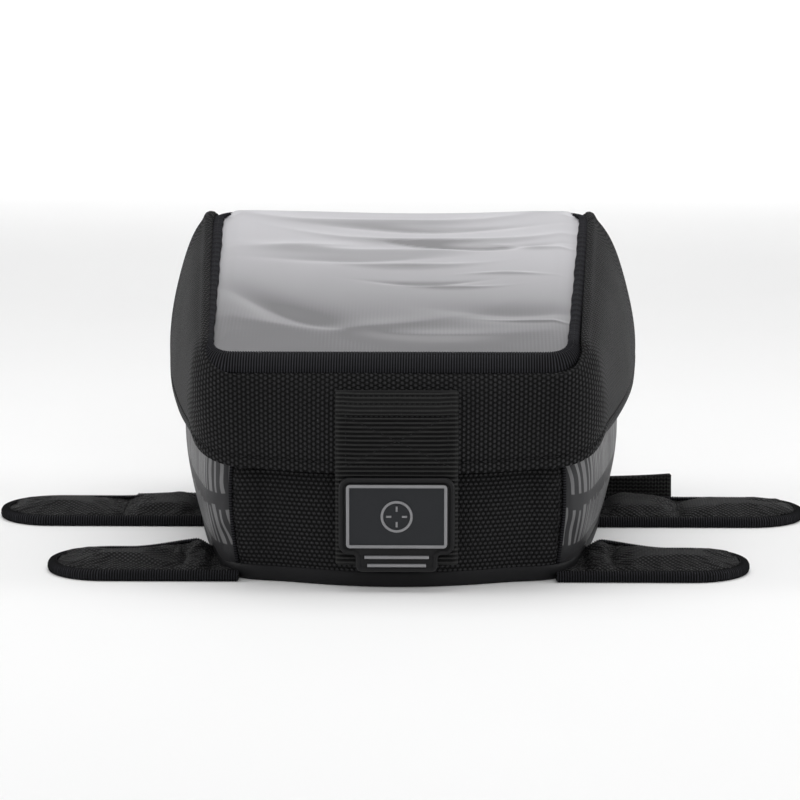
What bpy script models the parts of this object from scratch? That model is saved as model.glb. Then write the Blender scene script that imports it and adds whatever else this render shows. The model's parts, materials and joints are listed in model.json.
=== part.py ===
"""Small magnetic tank bag for a motorcycle.

A padded, open-topped tub of coated side panels and ballistic nylon ends is covered by a flip lid with a clear
phone window. The lid hinges at the rear, a webbing tab with a moulded patch closes it at the front, and four
magnet flaps hold the bag to a steel tank.

+Z is up and the origin is at the middle of the footprint, on the surface that the bag stands on. The rider sits
on the -Y side, where the bag is lower and narrower; +X is to the right seen from there.
"""

import math

import bmesh
import bpy
from mathutils import Matrix, Vector

MM = 0.001
GAP = 0.4 * MM  # between neighbouring layers and panels

# Tub: the outline of its walls at the base, and its heights.
TUB_FRONT_Y, TUB_REAR_Y = -82 * MM, 100.4 * MM
TUB_FRONT_HALF, TUB_REAR_HALF = 74 * MM, 98 * MM
TUB_FRONT_CORNER, TUB_REAR_CORNER = 24 * MM, 26 * MM
TUB_FRONT_BOW, TUB_SIDE_BOW = 11 * MM, 3 * MM
TUB_SIDE_BELLY, TUB_FRONT_BELLY = 7.5 * MM, 0.5 * MM  # how far a wall swells at mid-height
TUB_FRONT_LEAN = 6 * MM  # of the front wall's rim, inwards
WALL_FOOT_Z = 4.4 * MM
RIM_FRONT_Z, RIM_REAR_Z = 81 * MM, 95 * MM

# Layers of the tub wall, outside to inside.
SHELL = 1.3 * MM
FOAM = 2.8 * MM
LINER = 0.7 * MM
FOAM_INSET = SHELL + 2 * GAP
LINER_INSET = FOAM_INSET + FOAM + 2 * GAP

BASE_PANEL = 4.0 * MM
BASE_EDGE_ROUND = 1.5 * MM
BASE_BOARD = 1.5 * MM
LINER_FLOOR_Z = 7.0 * MM
RIM_TAPE = 1.8 * MM
RIM_TAPE_WIDTH = 6.6 * MM

# Lid: the outline of the skirt's lower edge.
LID_FRONT_Y, LID_REAR_Y = -89 * MM, 100.9 * MM
LID_FRONT_HALF, LID_REAR_HALF = 85 * MM, 113 * MM
LID_FRONT_CORNER, LID_REAR_CORNER = 26 * MM, 20 * MM
LID_FRONT_BOW, LID_SIDE_BOW = 7.5 * MM, 2 * MM
LID_SIDE_SWELL = 4 * MM
LID_SWELL_SHARE = 0.42  # of the skirt's height
SKIRT_FRONT_Z, SKIRT_SIDE_Z = 50 * MM, 61 * MM
SKIRT_FRONT_RUN = 38 * MM  # over which the lower edge rises round the front corner
SKIRT_REAR_RADIUS = 37 * MM  # of the lower edge's sweep up to the hinge
SKIRT_REAR_Z = 99.4 * MM
SKIRT = 1.3 * MM
LINING = 0.8 * MM
HEM_SHARE = 0.17  # of the skirt's height
LINING_TOP_SHARE = 0.66

# Window: the outline of the clear film, in the lid's sloping top plane.
WINDOW_FRONT_Y, WINDOW_REAR_Y = -79.5 * MM, 88 * MM
WINDOW_FRONT_HALF, WINDOW_REAR_HALF = 75 * MM, 85 * MM
WINDOW_CORNER = 9 * MM
TOP_FRONT_Z, TOP_REAR_Z = 98.5 * MM, 137.5 * MM
FILM = 0.8 * MM
TAPE = 1.4 * MM
TAPE_SIDE, TAPE_END = 4.0 * MM, 8.9 * MM  # width of the window tape along the sides and the ends
TAPE_ROLL = 7.0 * MM  # how far the front tape rolls down over the edge
CREST_RISE = 11 * MM
CREST_OUT = 5 * MM
POCKET_DEPTH = 12.5 * MM
POCKET_REAR_Y = 70 * MM
POCKET_BACK = 1.0 * MM

# Rear hinge of the lid.
HINGE_Y, HINGE_Z = LID_REAR_Y + 1.4 * MM, 98.7 * MM
HINGE_STRIP = 1.0 * MM
HINGE_STRIP_HALF = 72 * MM
HINGE_STRIP_HEIGHT = 13 * MM
HINGE_BEND = 0.9 * MM  # from the axis to where each half is sewn down

# Closure tab: 50 mm webbing with a moulded patch.
STRAP_HALF = 25 * MM
STRAP = 1.8 * MM
TAB_HINGE_Z = 55.0 * MM
TAB_HINGE_Y = -97.8 * MM
TAB_LEAN = math.radians(1.0)
TAB_DROP = 43 * MM
TAB_BEND = 0.9 * MM  # from the axis to the start of the rigid webbing
PATCH_TOP = 6.3 * MM  # below the axis
PATCH_HALF, PATCH_HEIGHT, PATCH = 24.3 * MM, 32.6 * MM, 2.2 * MM
TONGUE_HALF, TONGUE_HEIGHT = 17.2 * MM, 7.4 * MM
PATCH_ROUND = 4.5 * MM
TRIM = 0.8 * MM
FRAME_HALF_X, FRAME_HALF_Z, FRAME_LINE = 21.2 * MM, 13.5 * MM, 1.4 * MM
HOOK_HALF_X, HOOK_TOP, HOOK_HEIGHT, HOOK = 21 * MM, 11 * MM, 28 * MM, 1.2 * MM
LOOP_HALF_X, LOOP_LOW_Z, LOOP_HIGH_Z, LOOP = 23 * MM, 12 * MM, 46 * MM, 1.2 * MM

# Magnet flaps. The two lengths are from the hinge line to the tip.
FLAP_HALF_WIDTH = 25 * MM
FLAP_TIP = 26 * MM
FLAP_FRONT_Y, FLAP_REAR_Y = -58.5 * MM, 50.5 * MM
FLAP_FRONT_REACH, FLAP_REAR_REACH = 152 * MM, 188 * MM  # of the tips from the bag's middle
FLAP_HINGE_OUT, FLAP_HINGE_Z = 2.4 * MM, 1.8 * MM
FLAP_ROOT_CLEAR = 1.2 * MM
FLAP_TAPE_WIDTH, FLAP_TAPE = 4.5 * MM, 4.2 * MM
FLAP_UNDERSIDE = 1.0 * MM
FLAP_COVER = 1.0 * MM
FLAP_COVER_Z, FLAP_DOME = 3.7 * MM, 4.0 * MM
FLAP_DIVIDER = 58 * MM  # from the tip to the seam between the two magnet pockets
FLAP_SEAM_HALF = 2 * MM
MAGNET, MAGNET_Z = 2.1 * MM, 1.4 * MM
MAGNET_WIDTH = 25 * MM
OUTER_MAGNET = 38 * MM

ANCHOR_LENGTH, ANCHOR_HEIGHT, ANCHOR = 28 * MM, 12 * MM, 2.2 * MM
ANCHOR_X, ANCHOR_Y = 99.5 * MM, 82 * MM


# ---------------------------------------------------------------- materials and small helpers
PALETTE = {
    "ballistic_nylon": ((0.018, 0.018, 0.019), 0.75, 0.0),
    "coated_side": ((0.050, 0.050, 0.053), 0.45, 0.0),
    "base_rubber": ((0.014, 0.014, 0.015), 0.60, 0.0),
    "flap_nylon": ((0.030, 0.030, 0.032), 0.80, 0.0),
    "soft_backing": ((0.020, 0.020, 0.021), 0.95, 0.0),
    "binding_tape": ((0.022, 0.022, 0.024), 0.70, 0.0),
    "webbing": ((0.016, 0.016, 0.017), 0.75, 0.0),
    "patch_rubber": ((0.030, 0.031, 0.035), 0.50, 0.0),
    "patch_trim": ((0.270, 0.270, 0.280), 0.50, 0.0),
    "hook_and_loop": ((0.012, 0.012, 0.012), 0.95, 0.0),
    "window_film": ((0.620, 0.620, 0.640), 0.20, 0.0),
    "grey_lining": ((0.300, 0.300, 0.310), 0.80, 0.0),
    "foam": ((0.120, 0.120, 0.130), 0.95, 0.0),
    "stiffener": ((0.060, 0.060, 0.060), 0.50, 0.0),
    "magnet": ((0.350, 0.350, 0.360), 0.35, 0.9),
}


def clear_scene():
    for obj in list(bpy.data.objects):
        bpy.data.objects.remove(obj, do_unlink=True)


def make_materials():
    made = {}
    for name, (colour, roughness, metallic) in PALETTE.items():
        material = bpy.data.materials.new(name)
        material.use_nodes = True
        shader = material.node_tree.nodes["Principled BSDF"]
        shader.inputs["Base Color"].default_value = (*colour, 1.0)
        shader.inputs["Roughness"].default_value = roughness
        shader.inputs["Metallic"].default_value = metallic
        made[name] = material
    return made


def smooth(t):
    t = min(1.0, max(0.0, t))
    return t * t * (3 - 2 * t)


class Bench:
    """Where pieces are made: the collection, the materials, and the empties that the moving pieces hang on."""

    def __init__(self):
        self.collection = bpy.data.collections.new("tank_bag")
        bpy.context.scene.collection.children.link(self.collection)
        self.materials = make_materials()

    def pivot(self, name, location, turn=None):
        empty = bpy.data.objects.new(name, None)
        empty.empty_display_size = 0.02
        empty.matrix_world = Matrix.Translation(location) @ (turn or Matrix.Identity(4))
        self.collection.objects.link(empty)
        bpy.context.view_layer.update()
        return empty

    def place(self, obj, material, pivot, local=False):
        """Adds obj. Its shape is in the bag's frame, or in its pivot's frame if local is set."""
        self.collection.objects.link(obj)
        obj.data.materials.append(self.materials[material])
        if pivot is not None:
            obj.parent = pivot
            if not local:
                obj.matrix_parent_inverse = pivot.matrix_world.inverted()
        return obj

    def sheet(self, name, surface, cells, thickness, material, pivot=None, grow=-1, closed=False, local=False):
        """A panel: a grid carried to surface(u, v), then given its thickness. A closed one joins u = 0 to u = 1."""
        bm = bmesh.new()
        bmesh.ops.create_grid(bm, x_segments=cells[0], y_segments=cells[1], size=0.5)
        for vert in bm.verts:
            vert.co = surface(vert.co.x + 0.5, vert.co.y + 0.5)
        if closed:
            bmesh.ops.remove_doubles(bm, verts=bm.verts, dist=0.01 * MM)
            bmesh.ops.dissolve_degenerate(bm, edges=bm.edges, dist=0.001 * MM)
        mesh = bpy.data.meshes.new(name)
        bm.to_mesh(mesh)
        bm.free()
        mesh.shade_smooth()
        obj = self.place(bpy.data.objects.new(name, mesh), material, pivot, local)
        wall = obj.modifiers.new("thickness", "SOLIDIFY")
        wall.thickness = thickness
        wall.offset = grow
        return obj

    def plate(self, name, outline, low, high, material, pivot=None, hole=None, edge_round=0.0, turn=None, local=True):
        """A flat piece: a 2D curve filled and extruded from low to high along its own Z."""
        curve = bpy.data.curves.new(name, "CURVE")
        curve.dimensions = "2D"
        curve.fill_mode = "BOTH"
        curve.extrude = (high - low) / 2 - edge_round
        if edge_round:
            curve.bevel_depth = edge_round
            curve.bevel_resolution = 0
            curve.offset = -edge_round
        for points in filter(None, (outline, hole)):
            spline = curve.splines.new("POLY")
            spline.points.add(len(points) - 1)
            for point, (x, y) in zip(spline.points, points):
                point.co = (x, y, 0.0, 1.0)
            spline.use_cyclic_u = True
        obj = self.place(bpy.data.objects.new(name, curve), material, pivot, local)
        obj.matrix_local = (turn or Matrix.Identity(4)) @ Matrix.Translation((0, 0, (low + high) / 2))
        return obj


# ---------------------------------------------------------------- outlines
class Outline:
    """A rounded four-sided outline in plan, walked anticlockwise by t.

    0-1 is the front edge, 1-2 the front right corner, 2-3 the right side, 3-4 the rear right corner, and so on
    round to the front left corner at 7-8. Edges bow outwards; corners are parabolic.
    """

    def __init__(self, front_y, rear_y, front_half, rear_half, front_corner, rear_corner, front_bow=0.0, side_bow=0.0):
        self.corners = [
            Vector((-front_half, front_y)),
            Vector((front_half, front_y)),
            Vector((rear_half, rear_y)),
            Vector((-rear_half, rear_y)),
        ]
        self.cut = [front_corner, front_corner, rear_corner, rear_corner]
        self.bow = [front_bow, side_bow, 0.0, side_bow]

    def point(self, t):
        t %= 8.0
        index, share = int(t) // 2, t - int(t)
        start, end = self.corners[index], self.corners[(index + 1) % 4]
        along = (end - start).normalized()
        if int(t) % 2 == 0:
            first = start + along * self.cut[index]
            last = end - along * self.cut[(index + 1) % 4]
            outward = Vector((along.y, -along.x))
            return first.lerp(last, share) + outward * self.bow[index] * 4 * share * (1 - share)
        after = self.corners[(index + 2) % 4]
        first = end - along * self.cut[(index + 1) % 4]
        last = end + (after - end).normalized() * self.cut[(index + 1) % 4]
        return first.lerp(end, share).lerp(end.lerp(last, share), share)

    def normal(self, t):
        ahead, behind = self.point(t + 0.02), self.point(t - 0.02)
        along = (ahead - behind).normalized()
        return Vector((along.y, -along.x))

    def loop(self, inset, steps=8):
        """The whole outline, moved inwards, as points for a flat plate."""
        stations = [i / steps for i in range(8 * steps)]
        kept = [t for t in stations if int(t) % 2 or (int(t * steps) % 2 == 0)]
        return [tuple(self.point(t) - self.normal(t) * inset) for t in kept]


TUB = Outline(
    TUB_FRONT_Y, TUB_REAR_Y, TUB_FRONT_HALF, TUB_REAR_HALF,
    TUB_FRONT_CORNER, TUB_REAR_CORNER, TUB_FRONT_BOW, TUB_SIDE_BOW,
)
LID = Outline(
    LID_FRONT_Y, LID_REAR_Y, LID_FRONT_HALF, LID_REAR_HALF,
    LID_FRONT_CORNER, LID_REAR_CORNER, LID_FRONT_BOW, LID_SIDE_BOW,
)
WINDOW = Outline(
    WINDOW_FRONT_Y, WINDOW_REAR_Y, WINDOW_FRONT_HALF, WINDOW_REAR_HALF, WINDOW_CORNER, WINDOW_CORNER,
)


def rim_z(y):
    share = (y - TUB_FRONT_Y) / (TUB_REAR_Y - TUB_FRONT_Y)
    return RIM_FRONT_Z + (RIM_REAR_Z - RIM_FRONT_Z) * share


def top_z(y):
    share = (y - WINDOW_FRONT_Y) / (WINDOW_REAR_Y - WINDOW_FRONT_Y)
    return TOP_FRONT_Z + (TOP_REAR_Z - TOP_FRONT_Z) * share


def skirt_low_z(y):
    """The skirt's lower edge: it rises round the front corners, runs level, and sweeps up to the hinge."""
    centre_y = LID_REAR_Y - SKIRT_REAR_RADIUS
    level = SKIRT_FRONT_Z + (SKIRT_SIDE_Z - SKIRT_FRONT_Z) * smooth((y - LID_FRONT_Y + LID_FRONT_BOW) / SKIRT_FRONT_RUN)
    if y <= centre_y:
        return level
    across = min(y - centre_y, SKIRT_REAR_RADIUS)
    drop = math.sqrt(SKIRT_REAR_RADIUS**2 - across**2) / SKIRT_REAR_RADIUS
    return SKIRT_REAR_Z - (SKIRT_REAR_Z - SKIRT_SIDE_Z) * drop


def tape_width(t):
    return TAPE_SIDE + (TAPE_END - TAPE_SIDE) * abs(WINDOW.normal(t).y)


# ---------------------------------------------------------------- surfaces that panels lie on
def tub_wall(t, height, inset):
    """A point of the tub wall. height is 0 at the foot and 1 at the rim."""
    at, out = TUB.point(t), TUB.normal(t)
    facing_front = max(-out.y, 0.0)
    belly = abs(out.x) * TUB_SIDE_BELLY + facing_front * TUB_FRONT_BELLY
    lean = facing_front * TUB_FRONT_LEAN * height * height
    at = at + out * (belly * math.sin(math.pi * height) - lean - inset)
    return Vector((at.x, at.y, WALL_FOOT_Z + (rim_z(at.y) - WALL_FOOT_Z) * height))


def skirt_section(t):
    """The four points of the curve that the skirt follows upwards at t, from its lower edge to the window tape."""
    low, window, out = LID.point(t), WINDOW.point(t), WINDOW.normal(t)
    edge = window + out * (tape_width(t) + GAP)
    edge_z = top_z(window.y) - 1.0 * MM - TAPE_ROLL * max(-out.y, 0.0)
    low_z = SKIRT_REAR_Z if low.y > LID_REAR_Y - MM else skirt_low_z(low.y)
    side = abs(out.x)
    crest = edge + out * (1 * MM + CREST_OUT * side)
    return (
        Vector((*low, low_z)),
        Vector((*(low + out * LID_SIDE_SWELL * side), low_z + LID_SWELL_SHARE * (edge_z - low_z))),
        Vector((*crest, edge_z + CREST_RISE * side)),
        Vector((*edge, edge_z)),
    )


def skirt_point(t, height):
    a, b, c, d = skirt_section(t)
    rest = 1 - height
    return a * rest**3 + b * 3 * rest**2 * height + c * 3 * rest * height**2 + d * height**3


def skirt(t, height, inset=0.0):
    """A point of the lid's skirt, moved inwards along the surface's own normal."""
    step = 0.01
    along = skirt_point(t + step, height) - skirt_point(t - step, height)
    up = skirt_point(t, min(1.0, height + step)) - skirt_point(t, max(0.0, height - step))
    return skirt_point(t, height) - along.cross(up).normalized() * inset


def span(low, high, share):
    return low + (high - low) * share


# ---------------------------------------------------------------- tub
SEAM = 0.02  # half the gap between two wall panels, in steps of t
WALL_CELLS = (8, 5)
WALLS = {
    "front": (-0.5, 1.5, "ballistic_nylon"),
    "side_right": (1.5, 3.5, "coated_side"),
    "rear": (3.5, 5.5, "ballistic_nylon"),
    "side_left": (5.5, 7.5, "coated_side"),
}


def build_tub(bench):
    bench.plate("base_panel", TUB.loop(0.0), 0.0, BASE_PANEL, "base_rubber", edge_round=BASE_EDGE_ROUND)
    board_z = WALL_FOOT_Z
    bench.plate("base_board", TUB.loop(LINER_INSET + GAP), board_z, board_z + BASE_BOARD, "stiffener")
    for name, (first, last, material) in WALLS.items():
        first, last = first + SEAM, last - SEAM

        def outer(u, v, first=first, last=last):
            return tub_wall(span(first, last, u), v, 0.0)

        def padding(u, v, first=first, last=last):
            t = min(max(span(first, last, u), first + 2 * SEAM), last - 2 * SEAM)
            return tub_wall(t, 0.01 + 0.98 * v, FOAM_INSET)

        bench.sheet(f"{name}_panel", outer, WALL_CELLS, SHELL, material)
        bench.sheet(f"{name}_foam", padding, WALL_CELLS, FOAM, "foam")
    build_liner(bench)

    def rim(u, v):
        at = tub_wall(8 * u, 1.0, span(-0.2 * MM, RIM_TAPE_WIDTH, v))
        return at + Vector((0, 0, GAP))

    bench.sheet("rim_binding", rim, (32, 1), RIM_TAPE, "binding_tape", grow=1, closed=True)
    build_front_loop(bench)
    build_anchor_tabs(bench)


def build_liner(bench):
    """The sewn liner is one bag: its floor closes to a point in the middle, and its walls reach the rim."""
    rows, floor_rows = 7, 2
    middle = Vector((0, (TUB_FRONT_Y + TUB_REAR_Y) / 2, LINER_FLOOR_Z))

    def surface(u, v):
        row = v * rows
        foot_height = (LINER_FLOOR_Z - WALL_FOOT_Z) / (RIM_FRONT_Z - WALL_FOOT_Z)
        if row > floor_rows:
            return tub_wall(8 * u, span(foot_height, 0.985, (row - floor_rows) / (rows - floor_rows)), LINER_INSET)
        foot = tub_wall(8 * u, foot_height, LINER_INSET)
        foot.z = LINER_FLOOR_Z
        return middle.lerp(foot, row / floor_rows)

    bench.sheet("liner", surface, (32, rows), LINER, "grey_lining", closed=True)


def build_front_loop(bench):
    """The loop fastener that the closure tab presses on, sewn to the front panel."""
    front_y = TUB_FRONT_Y - TUB_FRONT_BOW

    def surface(u, v):
        share = 0.5 + span(-LOOP_HALF_X, LOOP_HALF_X, u) / (2 * (TUB_FRONT_HALF - TUB_FRONT_CORNER))
        z = span(LOOP_LOW_Z, LOOP_HIGH_Z, v)
        return tub_wall(share, (z - WALL_FOOT_Z) / (rim_z(front_y) - WALL_FOOT_Z), -GAP)

    bench.sheet("front_loop_patch", surface, (4, 4), LOOP, "hook_and_loop", grow=1)


def build_anchor_tabs(bench):
    """A webbing stub for a tether at each rear corner. The right one stands on edge, the left one lies flat."""
    for side, name, lean, height in ((1, "right", 0.0, 7.6 * MM), (-1, "left", 74.0, 3.6 * MM)):
        bpy.ops.mesh.primitive_cube_add(size=1)
        obj = bpy.context.object
        obj.name = f"anchor_tab_{name}"
        obj.data.transform(Matrix.Diagonal((ANCHOR_LENGTH, ANCHOR, ANCHOR_HEIGHT, 1)))
        for collection in list(obj.users_collection):
            collection.objects.unlink(obj)
        bench.place(obj, "webbing", None)
        obj.rotation_euler = (math.radians(lean), math.radians(-5 * side if lean == 0 else 0), 0)
        obj.location = (side * (ANCHOR_X + ANCHOR_LENGTH / 2), ANCHOR_Y + (3 * MM if lean else 0), height)
        soft = obj.modifiers.new("rounded", "BEVEL")
        soft.width = 0.6 * MM
        soft.segments = 1


# ---------------------------------------------------------------- lid
def build_lid(bench):
    hinge = bench.pivot("lid_hinge", (0, HINGE_Y, HINGE_Z))
    first, last = -2.5 + SEAM, 3.5 - SEAM
    bench.sheet("lid_skirt", lambda u, v: skirt(span(first, last, u), v), (36, 7), SKIRT, "ballistic_nylon", hinge)
    inner = SKIRT + GAP
    bench.sheet(
        "lid_hem", lambda u, v: skirt(span(first, last, u), HEM_SHARE * v, inner), (36, 1), LINING, "binding_tape", hinge,
    )
    start = HEM_SHARE + 0.01
    bench.sheet(
        "lid_lining", lambda u, v: skirt(span(first, last, u), span(start, LINING_TOP_SHARE, v), inner),
        (36, 3), LINING, "grey_lining", hinge,
    )
    bench.sheet(
        "lid_rear_wall", lambda u, v: skirt(span(3.5 + SEAM, 5.5 - SEAM, u), v), (14, 4), SKIRT, "ballistic_nylon", hinge,
    )
    build_window(bench, hinge)
    build_hinge_strips(bench, hinge)
    build_upper_strap(bench, hinge)


def build_window(bench, hinge):
    def tape(u, v):
        t = 8 * u
        out = WINDOW.normal(t)
        at = WINDOW.point(t) + out * tape_width(t) * v
        drop = TAPE_ROLL * max(-out.y, 0.0) * v * v
        return Vector((*at, top_z(WINDOW.point(t).y) + 0.3 * MM - drop))

    bench.sheet("window_binding", tape, (48, 3), TAPE, "binding_tape", hinge, closed=True)
    middle = Vector((0, (WINDOW_FRONT_Y + WINDOW_REAR_Y) / 2))

    def film(u, v):
        at = middle.lerp(WINDOW.point(8 * u) - WINDOW.normal(8 * u) * GAP, v)
        return Vector((*at, top_z(at.y) + 1.5 * MM * (1 - v * v)))

    bench.sheet("window_film", film, (40, 3), FILM, "window_film", hinge, closed=True)
    pocket_slope = (WINDOW_REAR_HALF - WINDOW_FRONT_HALF) / (WINDOW_REAR_Y - WINDOW_FRONT_Y)
    rear_half = WINDOW_FRONT_HALF + pocket_slope * (POCKET_REAR_Y - WINDOW_FRONT_Y)
    edge = Outline(WINDOW_FRONT_Y, POCKET_REAR_Y, WINDOW_FRONT_HALF, rear_half, WINDOW_CORNER, WINDOW_CORNER)
    pocket_middle = Vector((0, (WINDOW_FRONT_Y + POCKET_REAR_Y) / 2))

    def back(u, v):
        """A pouch hung from the tape at the front and sides; its rear edge stays low, as the mouth."""
        out = 1 - (1 - v) ** 1.8  # rows crowd towards the edge, where the pouch turns up
        at = pocket_middle.lerp(edge.point(8 * u), out)
        rise = smooth((out - 0.945) / 0.055) * (1 - smooth((edge.normal(8 * u).y - 0.2) / 0.5))
        return Vector((*at, top_z(at.y) - POCKET_DEPTH + (POCKET_DEPTH - 2.4 * MM) * rise))

    bench.sheet("pocket_back", back, (40, 5), POCKET_BACK, "grey_lining", hinge, closed=True)


def build_hinge_strips(bench, hinge):
    """The fabric hinge is one strip. It is sewn to the tub below the hinge line and to the lid above it."""
    upright = Matrix.Rotation(math.radians(90), 4, "X")
    at_axis = Matrix.Translation((0, HINGE_Y, HINGE_Z))
    half = HINGE_STRIP / 2
    for name, low, high, pivot, turn in (
        ("hinge_strip_tub", -HINGE_STRIP_HEIGHT, -HINGE_BEND, None, at_axis @ upright),
        ("hinge_strip_lid", HINGE_BEND, HINGE_STRIP_HEIGHT, hinge, upright),
    ):
        outline = [
            (-HINGE_STRIP_HALF, low), (HINGE_STRIP_HALF, low), (HINGE_STRIP_HALF, high), (-HINGE_STRIP_HALF, high),
        ]
        bench.plate(name, outline, -half, half, "webbing", pivot, turn=turn)


def build_upper_strap(bench, hinge):
    """The webbing's sewn length, on the outside of the skirt's front."""
    low_share, top_share = 0.135, 0.66
    low_front = LID_FRONT_HALF - LID_FRONT_CORNER
    top_front = WINDOW_FRONT_HALF - WINDOW_CORNER

    def surface(u, v):
        height = span(low_share, top_share, v)
        front = span(low_front, top_front, height * height * (3 - 2 * height))
        return skirt(0.5 + span(-STRAP_HALF, STRAP_HALF, u) / (2 * front), height, -GAP)

    bench.sheet("closure_strap_upper", surface, (4, 5), STRAP, "webbing", hinge, grow=1)


# ---------------------------------------------------------------- closure tab
def rounded_rectangle(half_x, low, high, radius, steps=3):
    points = []
    centres = (
        (half_x - radius, low + radius, -90), (half_x - radius, high - radius, 0),
        (radius - half_x, high - radius, 90), (radius - half_x, low + radius, 180),
    )
    for x, y, start in centres:
        for i in range(steps + 1):
            angle = math.radians(start + 90 * i / steps)
            points.append((x + radius * math.cos(angle), y + radius * math.sin(angle)))
    return points


def patch_outline():
    """The patch hangs from y = 0 downwards: a wide plate with rounded corners, and a narrower tongue below it."""
    foot = -PATCH_HEIGHT
    right = []
    for x, y, start, turn in (
        (PATCH_HALF - PATCH_ROUND, -PATCH_ROUND, 90, -90),
        (PATCH_HALF - PATCH_ROUND, foot + PATCH_ROUND, 0, -90),
        (TONGUE_HALF + 1.5 * MM, foot - 1.5 * MM, 90, 90),
        (TONGUE_HALF - 3 * MM, foot - TONGUE_HEIGHT + 3 * MM, 0, -90),
    ):
        radius = 1.5 * MM if turn > 0 else (PATCH_ROUND if y > foot else 3 * MM)
        for i in range(4):
            angle = math.radians(start + turn * i / 3)
            right.append((x + radius * math.cos(angle), y + radius * math.sin(angle)))
    left = [(-x, y) for x, y in reversed(right)]
    return right + left


def build_closure_tab(bench):
    lean = Matrix.Rotation(-TAB_LEAN, 4, "X")
    hinge = bench.pivot("closure_tab_hinge", (0, TAB_HINGE_Y, TAB_HINGE_Z), lean)
    upright = Matrix.Rotation(math.radians(90), 4, "X")  # a plate's own Z then points to the rider
    strap = rounded_rectangle(STRAP_HALF, -TAB_DROP, -TAB_BEND, 0.8 * MM, 1)
    bench.plate("closure_strap_lower", strap, -STRAP / 2, STRAP / 2, "webbing", hinge, turn=upright)
    face = STRAP / 2 + GAP
    down = Matrix.Translation((0, 0, -PATCH_TOP))
    bench.plate("tab_patch", patch_outline(), face, face + PATCH, "patch_rubber", hinge, turn=down @ upright)
    trim = face + PATCH + 0.3 * MM
    centre = -PATCH_TOP - PATCH_HEIGHT / 2
    at_frame = Matrix.Translation((0, 0, centre)) @ upright
    outer = rounded_rectangle(FRAME_HALF_X, -FRAME_HALF_Z, FRAME_HALF_Z, 0.8 * MM, 2)
    inner = rounded_rectangle(
        FRAME_HALF_X - FRAME_LINE, FRAME_LINE - FRAME_HALF_Z, FRAME_HALF_Z - FRAME_LINE, 0.4 * MM, 1,
    )
    bench.plate("patch_frame", outer, trim, trim + TRIM, "patch_trim", hinge, hole=inner, turn=at_frame)
    ring = [(math.cos(math.tau * i / 20), math.sin(math.tau * i / 20)) for i in range(20)]
    bench.plate(
        "patch_emblem", [(7 * MM * x, 7 * MM * y) for x, y in ring], trim, trim + TRIM, "patch_trim", hinge,
        hole=[(5.4 * MM * x, 5.4 * MM * y) for x, y in ring], turn=at_frame,
    )
    for name, below, half in (("grip_bar_upper", 1.1 * MM, 14.2 * MM), ("grip_bar_lower", 4.6 * MM, 13.0 * MM)):
        bar = rounded_rectangle(half, -0.75 * MM, 0.75 * MM, 0.74 * MM, 2)
        at_bar = Matrix.Translation((0, 0, -PATCH_TOP - PATCH_HEIGHT - below)) @ upright
        bench.plate(name, bar, trim, trim + TRIM, "patch_trim", hinge, turn=at_bar)
    back = -STRAP / 2 - GAP
    hook = rounded_rectangle(HOOK_HALF_X, -HOOK_TOP - HOOK_HEIGHT, -HOOK_TOP, 1 * MM, 1)
    bench.plate("tab_hook_patch", hook, back - HOOK, back, "hook_and_loop", hinge, turn=upright)


# ---------------------------------------------------------------- magnet flaps
def flap_edge(length, slant, inset, side):
    """The flap's outline moved inwards: a root cut along the bag's side, straight edges and a round tip."""
    half, tip = FLAP_HALF_WIDTH - inset, FLAP_TIP - inset
    centre = length - FLAP_TIP
    points = [(FLAP_ROOT_CLEAR - slant * half, -half)]
    for i in range(13):
        angle = math.radians(-90 + 15 * i)
        points.append((centre + tip * math.cos(angle), half * math.sin(angle)))
    points.append((FLAP_ROOT_CLEAR + slant * half, half))
    return [(side * x, y) for x, y in points]


def flap_width(x, length, inset):
    """Half the flap's width at x, from its straight edges into the round tip."""
    half, tip = FLAP_HALF_WIDTH - inset, FLAP_TIP - inset
    into = max(0.0, x - (length - FLAP_TIP)) / tip
    return half * math.sqrt(max(0.0, 1 - into * into))


def pocket_bump(x, y, low, high, half):
    along = abs(x - (low + high) / 2) / ((high - low) / 2)
    across = abs(y) / half
    return max(0.0, 1 - along**4) * max(0.0, 1 - across**4)


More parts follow.
